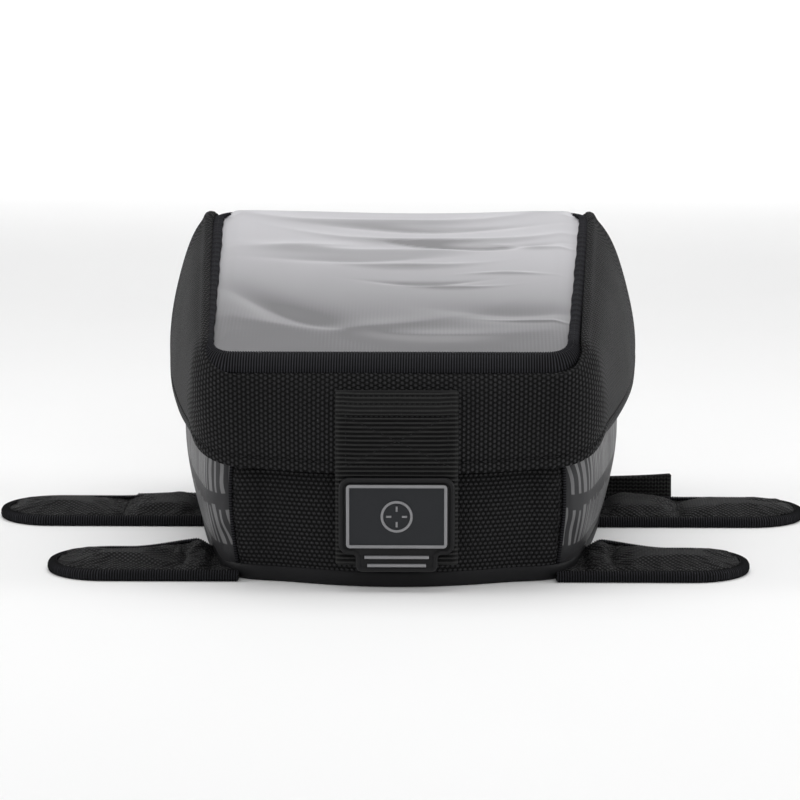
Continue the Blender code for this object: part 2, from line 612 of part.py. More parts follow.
def build_flap(bench, name, side, middle_y, reach):
    side_line = TUB.corners[2] - TUB.corners[1]
    slant = side_line.x / side_line.y
    share = (middle_y - TUB_FRONT_Y) / (TUB_REAR_Y - TUB_FRONT_Y)
    root_x = span(TUB_FRONT_HALF, TUB_REAR_HALF, share) + TUB_SIDE_BOW * 4 * share * (1 - share)
    hinge_x = root_x + FLAP_HINGE_OUT
    length = reach - hinge_x
    hinge = bench.pivot(f"{name}_hinge", (side * hinge_x, middle_y, FLAP_HINGE_Z))
    floor = -FLAP_HINGE_Z
    tape = flap_edge(length, slant, 0.0, side) + flap_edge(length, slant, FLAP_TAPE_WIDTH, side)[::-1]
    bench.plate(f"{name}_binding", tape, floor, floor + FLAP_TAPE, "binding_tape", hinge)
    inset = FLAP_TAPE_WIDTH + GAP
    under = flap_edge(length, slant, inset, side)
    bench.plate(f"{name}_underside", under, floor, floor + FLAP_UNDERSIDE, "soft_backing", hinge)
    divider = length - FLAP_DIVIDER
    tip_end = length - FLAP_TAPE_WIDTH - 1.5 * MM
    root_end = FLAP_ROOT_CLEAR + 1.2 * MM
    loose = inset + 0.5 * GAP
    half = FLAP_HALF_WIDTH - loose

    def cover(u, v):
        u = u if side > 0 else 1 - u
        x = span(FLAP_ROOT_CLEAR, tip_end - 0.5 * MM, u)
        y = span(-1, 1, v) * max(flap_width(x, length, loose), 5 * MM)
        outer = pocket_bump(x, y, divider + FLAP_SEAM_HALF, tip_end, half)
        inner = pocket_bump(x, y, root_end, divider - FLAP_SEAM_HALF, half)
        shear = slant * y * (1 - u) * 0.98
        return Vector((side * (x + shear), y, floor + FLAP_COVER_Z + FLAP_DOME * max(outer, inner)))

    bench.sheet(f"{name}_cover", cover, (14, 6), FLAP_COVER, "flap_nylon", hinge, local=True)
    outer_middle = (divider + tip_end) / 2 - 1.5 * MM
    inner_length = (divider - root_end) * 0.62
    for label, centre, size in (
        ("outer", outer_middle, OUTER_MAGNET), ("inner", (root_end + divider) / 2, inner_length),
    ):
        shape = rounded_rectangle(size / 2, -MAGNET_WIDTH / 2, MAGNET_WIDTH / 2, min(4 * MM, size / 3), 2)
        at = Matrix.Translation((side * centre, 0, 0))
        low = floor + MAGNET_Z
        bench.plate(f"{name}_magnet_{label}", shape, low, low + MAGNET, "magnet", hinge, turn=at)


def build_flaps(bench):
    for end, middle_y, reach in (("front", FLAP_FRONT_Y, FLAP_FRONT_REACH), ("rear", FLAP_REAR_Y, FLAP_REAR_REACH)):
        for side, hand in ((-1, "left"), (1, "right")):
            build_flap(bench, f"flap_{end}_{hand}", side, middle_y, reach)


def main():
    clear_scene()
    bench = Bench()
    build_tub(bench)
    build_lid(bench)
    build_closure_tab(bench)
    build_flaps(bench)


main()
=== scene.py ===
"""Looks of a small magnetic tank bag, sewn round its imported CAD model.

Everything is in metres in the model's own frame: +Z is up, the rider sits on the -Y side, and +X is to the
right seen from there. The bag has a fixed tub, a lid that hinges at the rear, a webbing tab that closes it,
and four flaps.
"""

import json
import math
from functools import partialmethod

import bmesh
import bpy
import numpy as np
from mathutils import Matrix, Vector


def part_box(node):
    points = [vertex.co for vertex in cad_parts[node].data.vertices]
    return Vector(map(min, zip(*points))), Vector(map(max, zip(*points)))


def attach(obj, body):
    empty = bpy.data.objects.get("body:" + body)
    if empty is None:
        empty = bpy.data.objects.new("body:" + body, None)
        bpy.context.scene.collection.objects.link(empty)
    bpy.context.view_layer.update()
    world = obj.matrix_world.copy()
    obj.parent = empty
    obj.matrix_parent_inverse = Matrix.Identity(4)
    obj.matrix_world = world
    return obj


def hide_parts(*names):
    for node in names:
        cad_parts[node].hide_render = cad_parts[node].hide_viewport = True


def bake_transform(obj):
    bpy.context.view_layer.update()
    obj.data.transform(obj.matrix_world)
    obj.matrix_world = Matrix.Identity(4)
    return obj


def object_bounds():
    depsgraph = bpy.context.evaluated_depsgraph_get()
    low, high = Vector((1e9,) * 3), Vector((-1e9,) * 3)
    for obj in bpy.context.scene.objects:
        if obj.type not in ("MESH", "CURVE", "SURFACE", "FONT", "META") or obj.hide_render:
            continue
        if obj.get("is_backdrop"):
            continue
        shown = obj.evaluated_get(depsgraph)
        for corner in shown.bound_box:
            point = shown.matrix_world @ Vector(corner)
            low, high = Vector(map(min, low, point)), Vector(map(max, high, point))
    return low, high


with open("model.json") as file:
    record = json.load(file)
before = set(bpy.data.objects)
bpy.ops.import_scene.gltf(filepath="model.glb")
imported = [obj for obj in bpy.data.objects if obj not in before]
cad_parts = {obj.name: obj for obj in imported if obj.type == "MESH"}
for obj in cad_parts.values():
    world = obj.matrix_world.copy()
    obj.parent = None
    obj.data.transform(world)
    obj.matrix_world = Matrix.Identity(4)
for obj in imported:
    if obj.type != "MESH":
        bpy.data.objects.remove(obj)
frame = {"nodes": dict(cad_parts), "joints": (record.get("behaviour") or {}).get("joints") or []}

bl_info = {
    "name": "Tank bag",
    "version": (1, 0, 0),
    "blender": (4, 5, 0),
    "location": "3D View > Sidebar > Tank bag",
    "description": "Sews the cloth, tape, webbing, film and moulded pieces of a magnetic tank bag",
    "category": "Object",
}

MM = 0.001
CAD_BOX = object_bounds()
JOINTS = {joint["name"]: joint for joint in frame["joints"]}
LID_HINGE = Vector(JOINTS["lid_hinge"]["pos_m"])
TAB_HINGE = Vector(JOINTS["closure_tab_hinge"]["pos_m"])

# Heights and layers that the CAD model's surfaces have.
WALL_FOOT = 4.4 * MM
RIM_FRONT, RIM_REAR = 81 * MM, 95 * MM
SIDE_BELLY, FRONT_BELLY, FRONT_LEAN = 7.5 * MM, 0.5 * MM, 6 * MM
FOAM_DEPTH = 4.9 * MM
LINER_INSET = 5.7 * MM
SKIRT_FRONT_Z, SKIRT_SIDE_Z, SKIRT_REAR_Z = 50 * MM, 61 * MM, 99.4 * MM
SKIRT_FRONT_Y, SKIRT_FRONT_RUN, SKIRT_REAR_RADIUS = -96.5 * MM, 38 * MM, 37 * MM
TOP_FRONT_Z, TOP_REAR_Z = 98.5 * MM, 137.5 * MM
TAPE_SIDE, TAPE_END, TAPE_ROLL = 4.0 * MM, 8.9 * MM, 7.0 * MM
SHOULDER_LEAN = 2.6 * MM
TAPE_RIB_HEIGHT = 0.2 * MM
POCKET_DEPTH = 12.5 * MM
STRAP_HALF, STRAP = 25 * MM, 1.8 * MM
TAB_LEAN = math.radians(1.0)
PATCH_TOP, PATCH_HALF, PATCH_HEIGHT = 6.3 * MM, 24.3 * MM, 32.6 * MM
TONGUE_HALF, TONGUE_HEIGHT, PATCH_ROUND = 17.2 * MM, 7.4 * MM, 4.5 * MM
FLAP_HALF, FLAP_TIP, FLAP_ROOT = 25 * MM, 26 * MM, 1.2 * MM
FLAP_FOOT, FLAP_DIVIDER = -1.7 * MM, 58 * MM


# ---------------------------------------------------------------- what a user would change
class BagCloth(bpy.types.PropertyGroup):
    weave_pitch: bpy.props.FloatProperty(
        name="Weave pitch", description="Width of one oval of the ballistic weave",
        default=2.18 * MM, unit="LENGTH",
    )
    weave_row: bpy.props.FloatProperty(
        name="Weave row", description="Height of one row of the ballistic weave",
        default=1.85 * MM, unit="LENGTH",
    )
    weave_colour: bpy.props.FloatVectorProperty(
        name="Weave colour", description="Top of the ballistic yarns",
        default=(0.036, 0.036, 0.0383), subtype="COLOR",
    )
    side_colour: bpy.props.FloatVectorProperty(
        name="Side colour", description="Coated cloth of the side panels",
        default=(0.034, 0.034, 0.036), subtype="COLOR",
    )
    print_colour: bpy.props.FloatVectorProperty(
        name="Print colour", description="Stripes on the side panels",
        default=(0.165, 0.165, 0.168), subtype="COLOR",
    )
    film_colour: bpy.props.FloatVectorProperty(
        name="Film colour", description="Clear film over the phone pocket",
        default=(0.51, 0.504, 0.526), subtype="COLOR",
    )
    trim_colour: bpy.props.FloatVectorProperty(
        name="Trim colour", description="Light lines on the moulded patch",
        default=(0.27, 0.27, 0.28), subtype="COLOR",
    )
    film_slack: bpy.props.FloatProperty(
        name="Film slack", description="Height of the film's wrinkles", default=1.7 * MM, unit="LENGTH"
    )
    pad_pressure: bpy.props.FloatProperty(
        name="Pad pressure", description="How hard the flap covers are puffed up", default=3.0, min=0.0
    )


class BagSewing(bpy.types.PropertyGroup):
    stitch_pitch: bpy.props.FloatProperty(
        name="Stitch pitch", description="From one stitch to the next", default=2.6 * MM, unit="LENGTH"
    )
    stitch_length: bpy.props.FloatProperty(
        name="Stitch length", description="Length of thread that shows", default=1.9 * MM, unit="LENGTH"
    )
    thread_radius: bpy.props.FloatProperty(
        name="Thread radius", description="Half the thread's thickness", default=0.22 * MM, unit="LENGTH"
    )
    tape_rib: bpy.props.FloatProperty(
        name="Tape rib", description="Pitch of the binding tape's ribs", default=1.12 * MM, unit="LENGTH"
    )
    webbing_rib: bpy.props.FloatProperty(
        name="Webbing rib", description="Pitch of the closure webbing's ribs",
        default=1.85 * MM, unit="LENGTH",
    )


# ---------------------------------------------------------------- shader trees
class Field:
    """One output of a shader tree. Python arithmetic on it adds Math nodes."""

    def __init__(self, finish, socket):
        self.finish, self.socket = finish, socket

    def maths(self, operation, *values):
        sockets = {i: value for i, value in enumerate((self, *values))}
        return self.finish.node("ShaderNodeMath", {"operation": operation}, sockets)

    def __rsub__(self, other):
        return self.finish.node("ShaderNodeMath", {"operation": "SUBTRACT"}, {0: other, 1: self})

    __add__ = __radd__ = partialmethod(maths, "ADD")
    __sub__ = partialmethod(maths, "SUBTRACT")
    __mul__ = __rmul__ = partialmethod(maths, "MULTIPLY")
    __truediv__ = partialmethod(maths, "DIVIDE")
    __pow__ = partialmethod(maths, "POWER")
    floor = partialmethod(maths, "FLOOR")
    fraction = partialmethod(maths, "FRACT")
    absolute = partialmethod(maths, "ABSOLUTE")
    sine = partialmethod(maths, "SINE")
    at_least = partialmethod(maths, "MAXIMUM")
    at_most = partialmethod(maths, "MINIMUM")

    def step(self, low, high):
        """0 below low, 1 above high, and smooth between."""
        return self.finish.node(
            "ShaderNodeMapRange",
            {"interpolation_type": "SMOOTHSTEP"},
            {"Value": self, "From Min": low, "From Max": high},
        )


class Finish:
    """A material with one Principled shader, and the few ways its tree grows."""

    def __init__(self, name, **constants):
        self.material = bpy.data.materials.new(name)
        self.material.use_nodes = True
        self.tree = self.material.node_tree
        self.shader = self.tree.nodes["Principled BSDF"]
        for key, value in constants.items():
            self.shader.inputs[key.replace("_", " ")].default_value = value

    def node(self, kind, settings=None, sockets=None, output=0):
        made = self.tree.nodes.new(kind)
        for key, value in (settings or {}).items():
            setattr(made, key, value)
        for key, value in (sockets or {}).items():
            self.feed(made.inputs[key], value)
        return Field(self, made.outputs[output])

    def feed(self, socket, value):
        if isinstance(value, Field):
            self.tree.links.new(value.socket, socket)
        else:
            socket.default_value = value

    def cloth_axes(self):
        """How far along and how far up the cloth a point is, in millimetres."""
        mapped = self.node("ShaderNodeUVMap", {"uv_map": "cloth"})
        return (
            self.node("ShaderNodeSeparateXYZ", None, {0: mapped}, "X"),
            self.node("ShaderNodeSeparateXYZ", None, {0: mapped}, "Y"),
        )

    def place(self):
        return self.node("ShaderNodeTexCoord", None, None, "Object")

    def noise(self, scale, detail=2.0, roughness=0.5):
        """Noise that keeps its place on the piece."""
        return self.node(
            "ShaderNodeTexNoise", None,
            {"Vector": self.place(), "Scale": scale, "Detail": detail, "Roughness": roughness},
        )

    def mix(self, share, first, last):
        mixed = self.node("ShaderNodeMix", {"data_type": "RGBA"}, {"Factor": share}, 2)
        node = mixed.socket.node
        self.feed(node.inputs[6], first if isinstance(first, Field) else (*first, 1.0))
        self.feed(node.inputs[7], last if isinstance(last, Field) else (*last, 1.0))
        return mixed

    def show(self, colour=None, roughness=None, alpha=None, height=None, depth=0.3 * MM, strength=1.0):
        for key, value in (("Base Color", colour), ("Roughness", roughness), ("Alpha", alpha)):
            if isinstance(value, Field):
                self.feed(self.shader.inputs[key], value)
        if height is not None:
            bump = self.node(
                "ShaderNodeBump", None, {"Height": height, "Distance": depth, "Strength": strength}, "Normal"
            )
            self.feed(self.shader.inputs["Normal"], bump)
        return self.material


def shade(colour, share):
    return tuple(channel * share for channel in colour)


def ballistic_weave(cloth, name, turned):
    """Coarse nylon: rows of small oval floats, each row half a float along from the last.

    Turned, the rows stand upright on the cloth.
    """
    made = Finish(name, Specular_IOR_Level=0.12)
    along, up = made.cloth_axes()
    if turned:
        along, up = up, along
    row = up / (cloth.weave_row / MM)
    shift = along / (cloth.weave_pitch / MM) + row.floor() * 0.5
    x, y = (shift.fraction() - 0.5) * 2.0, (row.fraction() - 0.5) * 2.0
    float_top = (1.0 - x * x * 1.1 - y * y * 1.25).at_least(0.0)
    yarn = (along * 7.0 + up * 2.0).sine() * 0.07
    height = float_top ** 0.6 + yarn
    patchy = made.noise(38.0, 3.0)
    worn = made.noise(900.0, 2.0, 0.6)
    # The float tops take a painted highlight and the gaps between them painted shade, varied at random.
    lit = float_top ** 1.2 * (0.55 + worn * 0.9)
    colour = made.mix(lit, shade(cloth.weave_colour, 0.03), cloth.weave_colour)
    colour = made.mix(patchy * 0.4, colour, shade(cloth.weave_colour, 0.25))
    return made.show(colour, 0.62 - float_top * 0.2 + patchy * 0.08, height=height, depth=0.8 * MM)


def coated_side(cloth):
    """Smooth coated cloth, printed with two rows of upright stripes of mixed widths."""
    made = Finish("coated_side", Specular_IOR_Level=0.2)
    along, up = made.cloth_axes()
    slanted = along + up * 0.16
    cell = slanted / 4.3
    line = {"noise_dimensions": "1D"}
    width = made.node("ShaderNodeTexWhiteNoise", line, {"W": cell.floor()}, "Value")
    lower = made.node("ShaderNodeTexWhiteNoise", line, {"W": cell.floor() + 31.0}, "Value")
    inside = (cell.fraction() - 0.5).absolute()
    stripe = 1.0 - inside.step(0.14 + width * 0.24, 0.17 + width * 0.24)
    high_row = up.step(33.0, 33.6) * (1.0 - up.step(56.0, 56.6))
    low_row = up.step(10.0, 10.6) * (1.0 - (up - lower * 3.0).step(25.0, 25.6))
    worn = made.noise(260.0, 4.0, 0.7)
    printed = stripe * (high_row + low_row) * (0.72 + worn * 0.5).at_most(1.0)
    cloudy = made.noise(22.0, 3.0)
    ground = made.mix(cloudy, shade(cloth.side_colour, 0.78), shade(cloth.side_colour, 1.15))
    grain = made.noise(1500.0, 2.0)
    thread = (along * 14.0).sine() * (up * 14.0).sine()
    return made.show(
        made.mix(printed, ground, cloth.print_colour), 0.44 + cloudy * 0.14 - printed * 0.06,
        height=grain * 0.5 + thread * 0.25 + printed * 0.3, depth=0.06 * MM, strength=0.8,
    )


def base_rubber():
    made = Finish("base_rubber", Specular_IOR_Level=0.2)
    worn = made.noise(60.0, 4.0, 0.6)
    grain = made.noise(1200.0, 2.0)
    colour = made.mix(worn, (0.005, 0.005, 0.006), (0.011, 0.011, 0.012))
    return made.show(colour, 0.5 + worn * 0.2, height=grain, depth=0.05 * MM)


def flap_cloth():
    """Finer nylon with a diamond weave, laid on the bias."""
    made = Finish("flap_cloth", Specular_IOR_Level=0.16)
    along, up = made.cloth_axes()
    left, right = ((along + up) / 2.4).fraction(), ((along - up) / 2.4).fraction()
    diamond = (1.0 - (left - 0.5).absolute() * 2.0) * (1.0 - (right - 0.5).absolute() * 2.0)
    patchy = made.noise(55.0, 3.0)
    # The diamonds' crests take a painted highlight and the hollows between them painted shade.
    colour = made.mix(diamond ** 1.3, (0.0035, 0.0035, 0.0038), (0.105, 0.105, 0.108))
    colour = made.mix(patchy * 0.6, colour, (0.003, 0.003, 0.0032))
    return made.show(colour, 0.62 - diamond * 0.2 + patchy * 0.1, height=diamond, depth=0.8 * MM)


def ribbed_tape(name, base, pitch):
    """Grosgrain tape. Its ribs are in the mesh; the finish paints shade between them and a highlight on their
    crests, and adds threads and wear.
    """
    made = Finish(name, Specular_IOR_Level=0.08)
    along, up = made.cloth_axes()
    rib = (along * (math.tau * MM / pitch)).sine() * 0.5 + 0.5
    thread = (up * 11.0).sine() * 0.15 + 0.85
    worn = made.noise(90.0, 4.0, 0.6)
    colour = made.mix(rib ** 1.6 * thread * (0.7 + worn * 0.5), shade(base, 0.05), shade(base, 4.2))
    return made.show(colour, 0.58 + worn * 0.2, height=thread + worn, depth=0.1 * MM, strength=0.8)


def webbing(pitch):
    """Closure webbing: ribs across it in the mesh, and their shade and the warp threads here."""
    made = Finish("webbing", Specular_IOR_Level=0.18)
    along, up = made.cloth_axes()
    warp = (along * 7.5).sine() * 0.5 + 0.5
    fuzz = made.noise(700.0, 3.0, 0.7)
    worn = made.noise(70.0, 4.0, 0.6)
    rib = ((up * (math.tau * MM / pitch)).sine() * 0.5 + 0.5) ** 2.0
    lit = rib * (0.55 + fuzz * 0.5) * (0.85 + warp * 0.15)
    colour = made.mix(lit, (0.0025, 0.0025, 0.0027), (0.036, 0.0365, 0.036))
    height = warp * 0.5 + fuzz * 0.7
    return made.show(colour, 0.55 + worn * 0.25, height=height, depth=0.12 * MM, strength=0.8)


def pile(name, low, high, scale):
    """Brushed or looped pile: fuzz with no direction."""
    made = Finish(name, Sheen_Weight=0.04, Sheen_Roughness=0.5, Specular_IOR_Level=0.1)
    fuzz, clump = made.noise(scale, 5.0, 0.75), made.noise(scale * 0.12, 3.0)
    colour = made.mix(fuzz * 0.7 + clump * 0.4, low, high)
    return made.show(colour, 0.85 + fuzz * 0.1, height=fuzz + clump * 0.6, depth=0.4 * MM)


def moulded(name, low, high, grain_depth=0.04):
    """Soft moulded rubber, a little scuffed on its high spots."""
    made = Finish(name, Specular_IOR_Level=0.25)
    scuffs, grain = made.noise(150.0, 5.0, 0.65), made.noise(1800.0, 2.0)
    colour = made.mix(scuffs, low, high)
    return made.show(colour, 0.42 + scuffs * 0.18, height=grain + scuffs * 0.4, depth=grain_depth * MM)


def clear_film(cloth):
    """Satin film. A fine grid, the pocket cloth pressed against it, shows towards the front.

    Painted shade darkens it towards the front, and on the side of each wrinkle that the wrinkle shade attribute
    marks.
    """
    made = Finish("clear_film", Coat_Weight=0.25, Coat_Roughness=0.18, Specular_IOR_Level=0.45)
    along, up = made.cloth_axes()
    columns = (along * (math.tau / 1.6)).sine() * 0.5 + 0.5
    rows = (up * (math.tau / 1.6)).sine() * 0.5 + 0.5
    front = 1.0 - (up + along * 0.06).step(-66.0, -14.0)
    grid = (columns * 0.75 + rows * 0.35) * front
    haze = made.noise(16.0, 4.0)
    # Painted shade on one side of each wrinkle, read from an attribute of the film's mesh.
    crease = made.node("ShaderNodeAttribute", {"attribute_name": "crease"}, None, "Fac")
    # Painted shade that darkens the film towards the front.
    depth = 1.0 - (up + along * 0.15 + haze * 30.0).step(-80.0, 90.0)
    painted_shade_and_grid = (grid * 0.08 + haze * 0.08 + depth * 0.86 + crease * 0.78 + 0.1).at_least(0.0).at_most(1.0)
    # A lit and a shaded copy of the film colour, mixed by the painted shade and the grid.
    colour = made.mix(painted_shade_and_grid, shade(cloth.film_colour, 1.22), shade(cloth.film_colour, 0.34))
    roughness, alpha = 0.26 + haze * 0.12, 0.95 - haze * 0.04
    height = grid * 0.5 + made.noise(420.0) * 0.2
    return made.show(colour, roughness, alpha, height=height, depth=0.05 * MM, strength=0.6)


def grey_lining():
    """Thin ripstop lining."""
    made = Finish("grey_lining", Sheen_Weight=0.1, Specular_IOR_Level=0.35)
    along, up = made.cloth_axes()
    square = ((along / 4.0).fraction() - 0.5).absolute().step(0.43, 0.5)
    square = (square + ((up / 4.0).fraction() - 0.5).absolute().step(0.43, 0.5)).at_most(1.0)
    plain = (along * 12.0).sine() * (up * 12.0).sine()
    soft = made.noise(40.0, 3.0)
    colour = made.mix(square * 0.4 + soft * 0.4, (0.20, 0.20, 0.207), (0.30, 0.30, 0.31))
    return made.show(colour, 0.72 + soft * 0.1, height=square + plain * 0.3, depth=0.09 * MM)


def hidden_finish(name, low, high, scale, metallic=0.0, roughness=0.7):
    made = Finish(name, Metallic=metallic)
    mottle = made.noise(scale, 4.0, 0.6)
    return made.show(made.mix(mottle, low, high), roughness + mottle * 0.15, height=mottle, depth=0.1 * MM)


FINISHES = {}


def make_finishes(cloth, sewing):
    FINISHES.update(
        ballistic=ballistic_weave(cloth, "ballistic_weave", False),
        lid_ballistic=ballistic_weave(cloth, "lid_weave", True),
        side=coated_side(cloth),
        base=base_rubber(),
        flap=flap_cloth(),
        tape=ribbed_tape("binding_tape", (0.0090, 0.0090, 0.0105), sewing.tape_rib),
        webbing=webbing(sewing.webbing_rib),
        thread=ribbed_tape("thread", (0.020, 0.020, 0.021), 0.5 * MM),
        backing=pile("soft_backing", (0.006, 0.006, 0.006), (0.03, 0.03, 0.031), 900.0),
        loop=pile("loop_pile", (0.004, 0.004, 0.004), (0.022, 0.022, 0.022), 1400.0),
        hook=moulded("hook_plastic", (0.006, 0.006, 0.006), (0.016, 0.016, 0.017)),
        rubber=moulded("patch_rubber", (0.004, 0.004, 0.0045), (0.008, 0.008, 0.009)),
        field=moulded("patch_field", (0.0165, 0.0178, 0.0208), (0.0215, 0.0232, 0.0265), 0.02),
        trim=moulded("patch_trim", shade(cloth.trim_colour, 0.85), shade(cloth.trim_colour, 1.1)),
        film=clear_film(cloth),
        lining=grey_lining(),
        foam=hidden_finish("foam", (0.09, 0.09, 0.10), (0.15, 0.15, 0.16), 900.0),
        stiffener=hidden_finish("stiffener", (0.04, 0.04, 0.04), (0.07, 0.07, 0.07), 300.0, 0.0, 0.45),
        magnet=hidden_finish("magnet", (0.30, 0.30, 0.31), (0.42, 0.42, 0.43), 120.0, 0.9, 0.3),
    )


# ---------------------------------------------------------------- outlines and surfaces of the CAD model
def unit(vectors):
    return vectors / np.maximum(np.linalg.norm(vectors, axis=-1, keepdims=True), 1e-12)


def smooth(share):
    share = np.clip(share, 0.0, 1.0)
    return share * share * (3 - 2 * share)


def between(low, high, share):
    return low + (high - low) * share


def bell(distance, width):
    return np.exp(-((distance / width) ** 2))


def stack(*columns):
    return np.stack(np.broadcast_arrays(*columns), -1)


EASING = [(0.05 * i, (4 - abs(i)) / 16) for i in range(-3, 4)]


class Outline:
    """A rounded four-sided outline in plan, walked anticlockwise by t.

    0-1 is the front edge, 1-2 the front right corner, 2-3 the right side, 3-4 the rear right corner, and so
    on round to the front left corner at 7-8. Edges bow outwards; corners are parabolic. Sizes are in
    millimetres.
    """

    def __init__(
        self, front_y, rear_y, front_half, rear_half, front_corner, rear_corner, front_bow=0.0, side_bow=0.0
    ):
        self.corners = MM * np.array(
            [(-front_half, front_y), (front_half, front_y), (rear_half, rear_y), (-rear_half, rear_y)], float
        )
        self.cut = MM * np.array([front_corner, front_corner, rear_corner, rear_corner], float)
        self.bow = MM * np.array([front_bow, side_bow, 0.0, side_bow], float)

    def point(self, t):
        """The outline eased over a short stretch, because cloth doesn't turn a sharp corner."""
        t = np.asarray(t, float)
        eased = [(share, self.sharp(t + shift)) for shift, share in EASING]
        return sum(share * at for share, at in eased)

    def sharp(self, t):
        t = np.mod(t, 8.0)
        step = np.minimum(np.floor(t).astype(int), 7)
        share, index = (t - step)[..., None], step // 2
        start, end, after = (self.corners[(index + i) % 4] for i in range(3))
        along, onward = unit(end - start), unit(after - end)
        cut = self.cut[(index + 1) % 4][..., None]
        first, last = start + along * self.cut[index][..., None], end - along * cut
        outward = stack(along[..., 1], -along[..., 0])
        edge = between(first, last, share) + outward * self.bow[index][..., None] * 4 * share * (1 - share)
        turn = between(between(last, end, share), between(end, end + onward * cut, share), share)
        return np.where((step % 2 == 0)[..., None], edge, turn)

    def normal(self, t):
        along = unit(self.point(t + 0.02) - self.point(t - 0.02))
        return stack(along[..., 1], -along[..., 0])


TUB_FRONT_Y, TUB_DEPTH = -82 * MM, 182.4 * MM
WINDOW_FRONT_Y, WINDOW_REAR_Y, WINDOW_DEPTH = -79.5 * MM, 88 * MM, 167.5 * MM
FILM_FRONT_Y, FILM_REAR_Y, FILM_DEPTH = -81 * MM, 91.5 * MM, 172.5 * MM
LID_REAR_Y = 100.9 * MM
TUB = Outline(-82, 100.4, 74, 98, 24, 26, 11, 3)
LID = Outline(-89, 100.9, 85, 113, 26, 20, 7.5, 2)
WINDOW = Outline(-79.5, 88, 75, 85, 9, 9)
TAPE = Outline(-79.5, 88, 75, 84.6, 9, 9)
POCKET = Outline(-79.5, 70, 75, 83.9, 9, 9)


def rim_z(y):
    return between(RIM_FRONT, RIM_REAR, (y - TUB_FRONT_Y) / TUB_DEPTH)


def top_z(y):
    return between(TOP_FRONT_Z, TOP_REAR_Z, (y - WINDOW_FRONT_Y) / WINDOW_DEPTH)


def skirt_low_z(y):
    """The skirt's lower edge: it rises round the front corners, runs level, and sweeps up to the hinge."""
    level = between(SKIRT_FRONT_Z, SKIRT_SIDE_Z, smooth((y - SKIRT_FRONT_Y) / SKIRT_FRONT_RUN))
    across = np.clip(y - (LID_REAR_Y - SKIRT_REAR_RADIUS), 0.0, SKIRT_REAR_RADIUS)
    drop = np.sqrt(SKIRT_REAR_RADIUS**2 - across**2) / SKIRT_REAR_RADIUS
    return np.where(across > 0, SKIRT_REAR_Z - (SKIRT_REAR_Z - SKIRT_SIDE_Z) * drop, level)


def tub_wall(t, height, inset=0.0):
    """A point of the tub wall. height is 0 at the foot and 1 at the rim."""
    at, out = TUB.point(t), TUB.normal(t)
    facing_front = np.maximum(-out[..., 1], 0.0)
    belly = np.abs(out[..., 0]) * SIDE_BELLY + facing_front * FRONT_BELLY
    lean = facing_front * FRONT_LEAN * height * height
    at = at + out * (belly * np.sin(math.pi * height) - lean - inset)[..., None]
    return stack(at[..., 0], at[..., 1], between(WALL_FOOT, rim_z(at[..., 1]), height))


def tape_width(t):
    return TAPE_SIDE + (TAPE_END - TAPE_SIDE) * np.abs(WINDOW.normal(t)[..., 1])


def skirt_point(t, height):
    """The skirt follows one curve upwards at each t, from its lower edge to the window tape."""
    low, window, out = LID.point(t), WINDOW.point(t), WINDOW.normal(t)
    edge = window + out * (tape_width(t) + 0.4 * MM)[..., None]
    edge = edge - stack(SHOULDER_LEAN * smooth(out[..., 0]), 0 * t)
    edge_z = top_z(window[..., 1]) - 1.0 * MM - TAPE_ROLL * np.maximum(-out[..., 1], 0.0)
    low_z = np.where(low[..., 1] > 99.9 * MM, SKIRT_REAR_Z, skirt_low_z(low[..., 1]))
    side = np.abs(out[..., 0])
    swell = low + out * (4 * MM * side)[..., None]
    crest = edge + out * (1 * MM + 5 * MM * side)[..., None]
    points = (
        stack(low[..., 0], low[..., 1], low_z),
        stack(swell[..., 0], swell[..., 1], between(low_z, edge_z, 0.42)),
        stack(crest[..., 0], crest[..., 1], edge_z + 11 * MM * side),
        stack(edge[..., 0], edge[..., 1], edge_z),
    )
    h, rest = np.asarray(height)[..., None], 1 - np.asarray(height)[..., None]
    return points[0] * rest**3 + points[1] * 3 * rest**2 * h + points[2] * 3 * rest * h**2 + points[3] * h**3


def skirt(t, height, inset=0.0):
    """A point of the lid's skirt, moved inwards along the surface's own normal."""
    step = 0.01
    along = skirt_point(t + step, height) - skirt_point(t - step, height)
    up = skirt_point(t, np.minimum(1.0, height + step)) - skirt_point(t, np.maximum(0.0, height - step))
    return skirt_point(t, height) - unit(np.cross(along, up)) * np.asarray(inset)[..., None]


def grid(first, last, columns, rows, low=0.0, high=1.0):
    return np.meshgrid(np.linspace(first, last, columns), np.linspace(low, high, rows), indexing="ij")


def ripple(t, height, size, seed=0.0):
    """Slow unevenness that sewn cloth has, the same on each run."""
    waves = (
        np.sin(2.1 * t + 5.0 * height + seed)
        + 0.6 * np.sin(5.3 * t - 7.0 * height + 1.7 * seed)
        + 0.35 * np.sin(11.0 * t + 13.0 * height + 2.9 * seed)
    )
    return size * waves / 1.95


# ---------------------------------------------------------------- meshes
def keep(name, mesh, finishes):
    """Puts a mesh in the scene as a piece at the origin, in its finishes."""
    mesh.name = name
    obj = bpy.data.objects.new(name, mesh)
    bpy.context.scene.collection.objects.link(obj)
    mesh.materials.clear()
    for finish in finishes:
        mesh.materials.append(FINISHES[finish])
    return obj


def weld(mesh):
    made = bmesh.new()
    made.from_mesh(mesh)
    bmesh.ops.remove_doubles(made, verts=made.verts, dist=0.002 * MM)
    bmesh.ops.dissolve_degenerate(made, edges=made.edges, dist=0.001 * MM)
    made.to_mesh(mesh)
    made.free()


def places(mesh):
    """Where the mesh's points are, one a row."""
    found = np.empty(len(mesh.vertices) * 3, np.float32)
    mesh.vertices.foreach_get("co", found)
    return found.reshape(-1, 3)


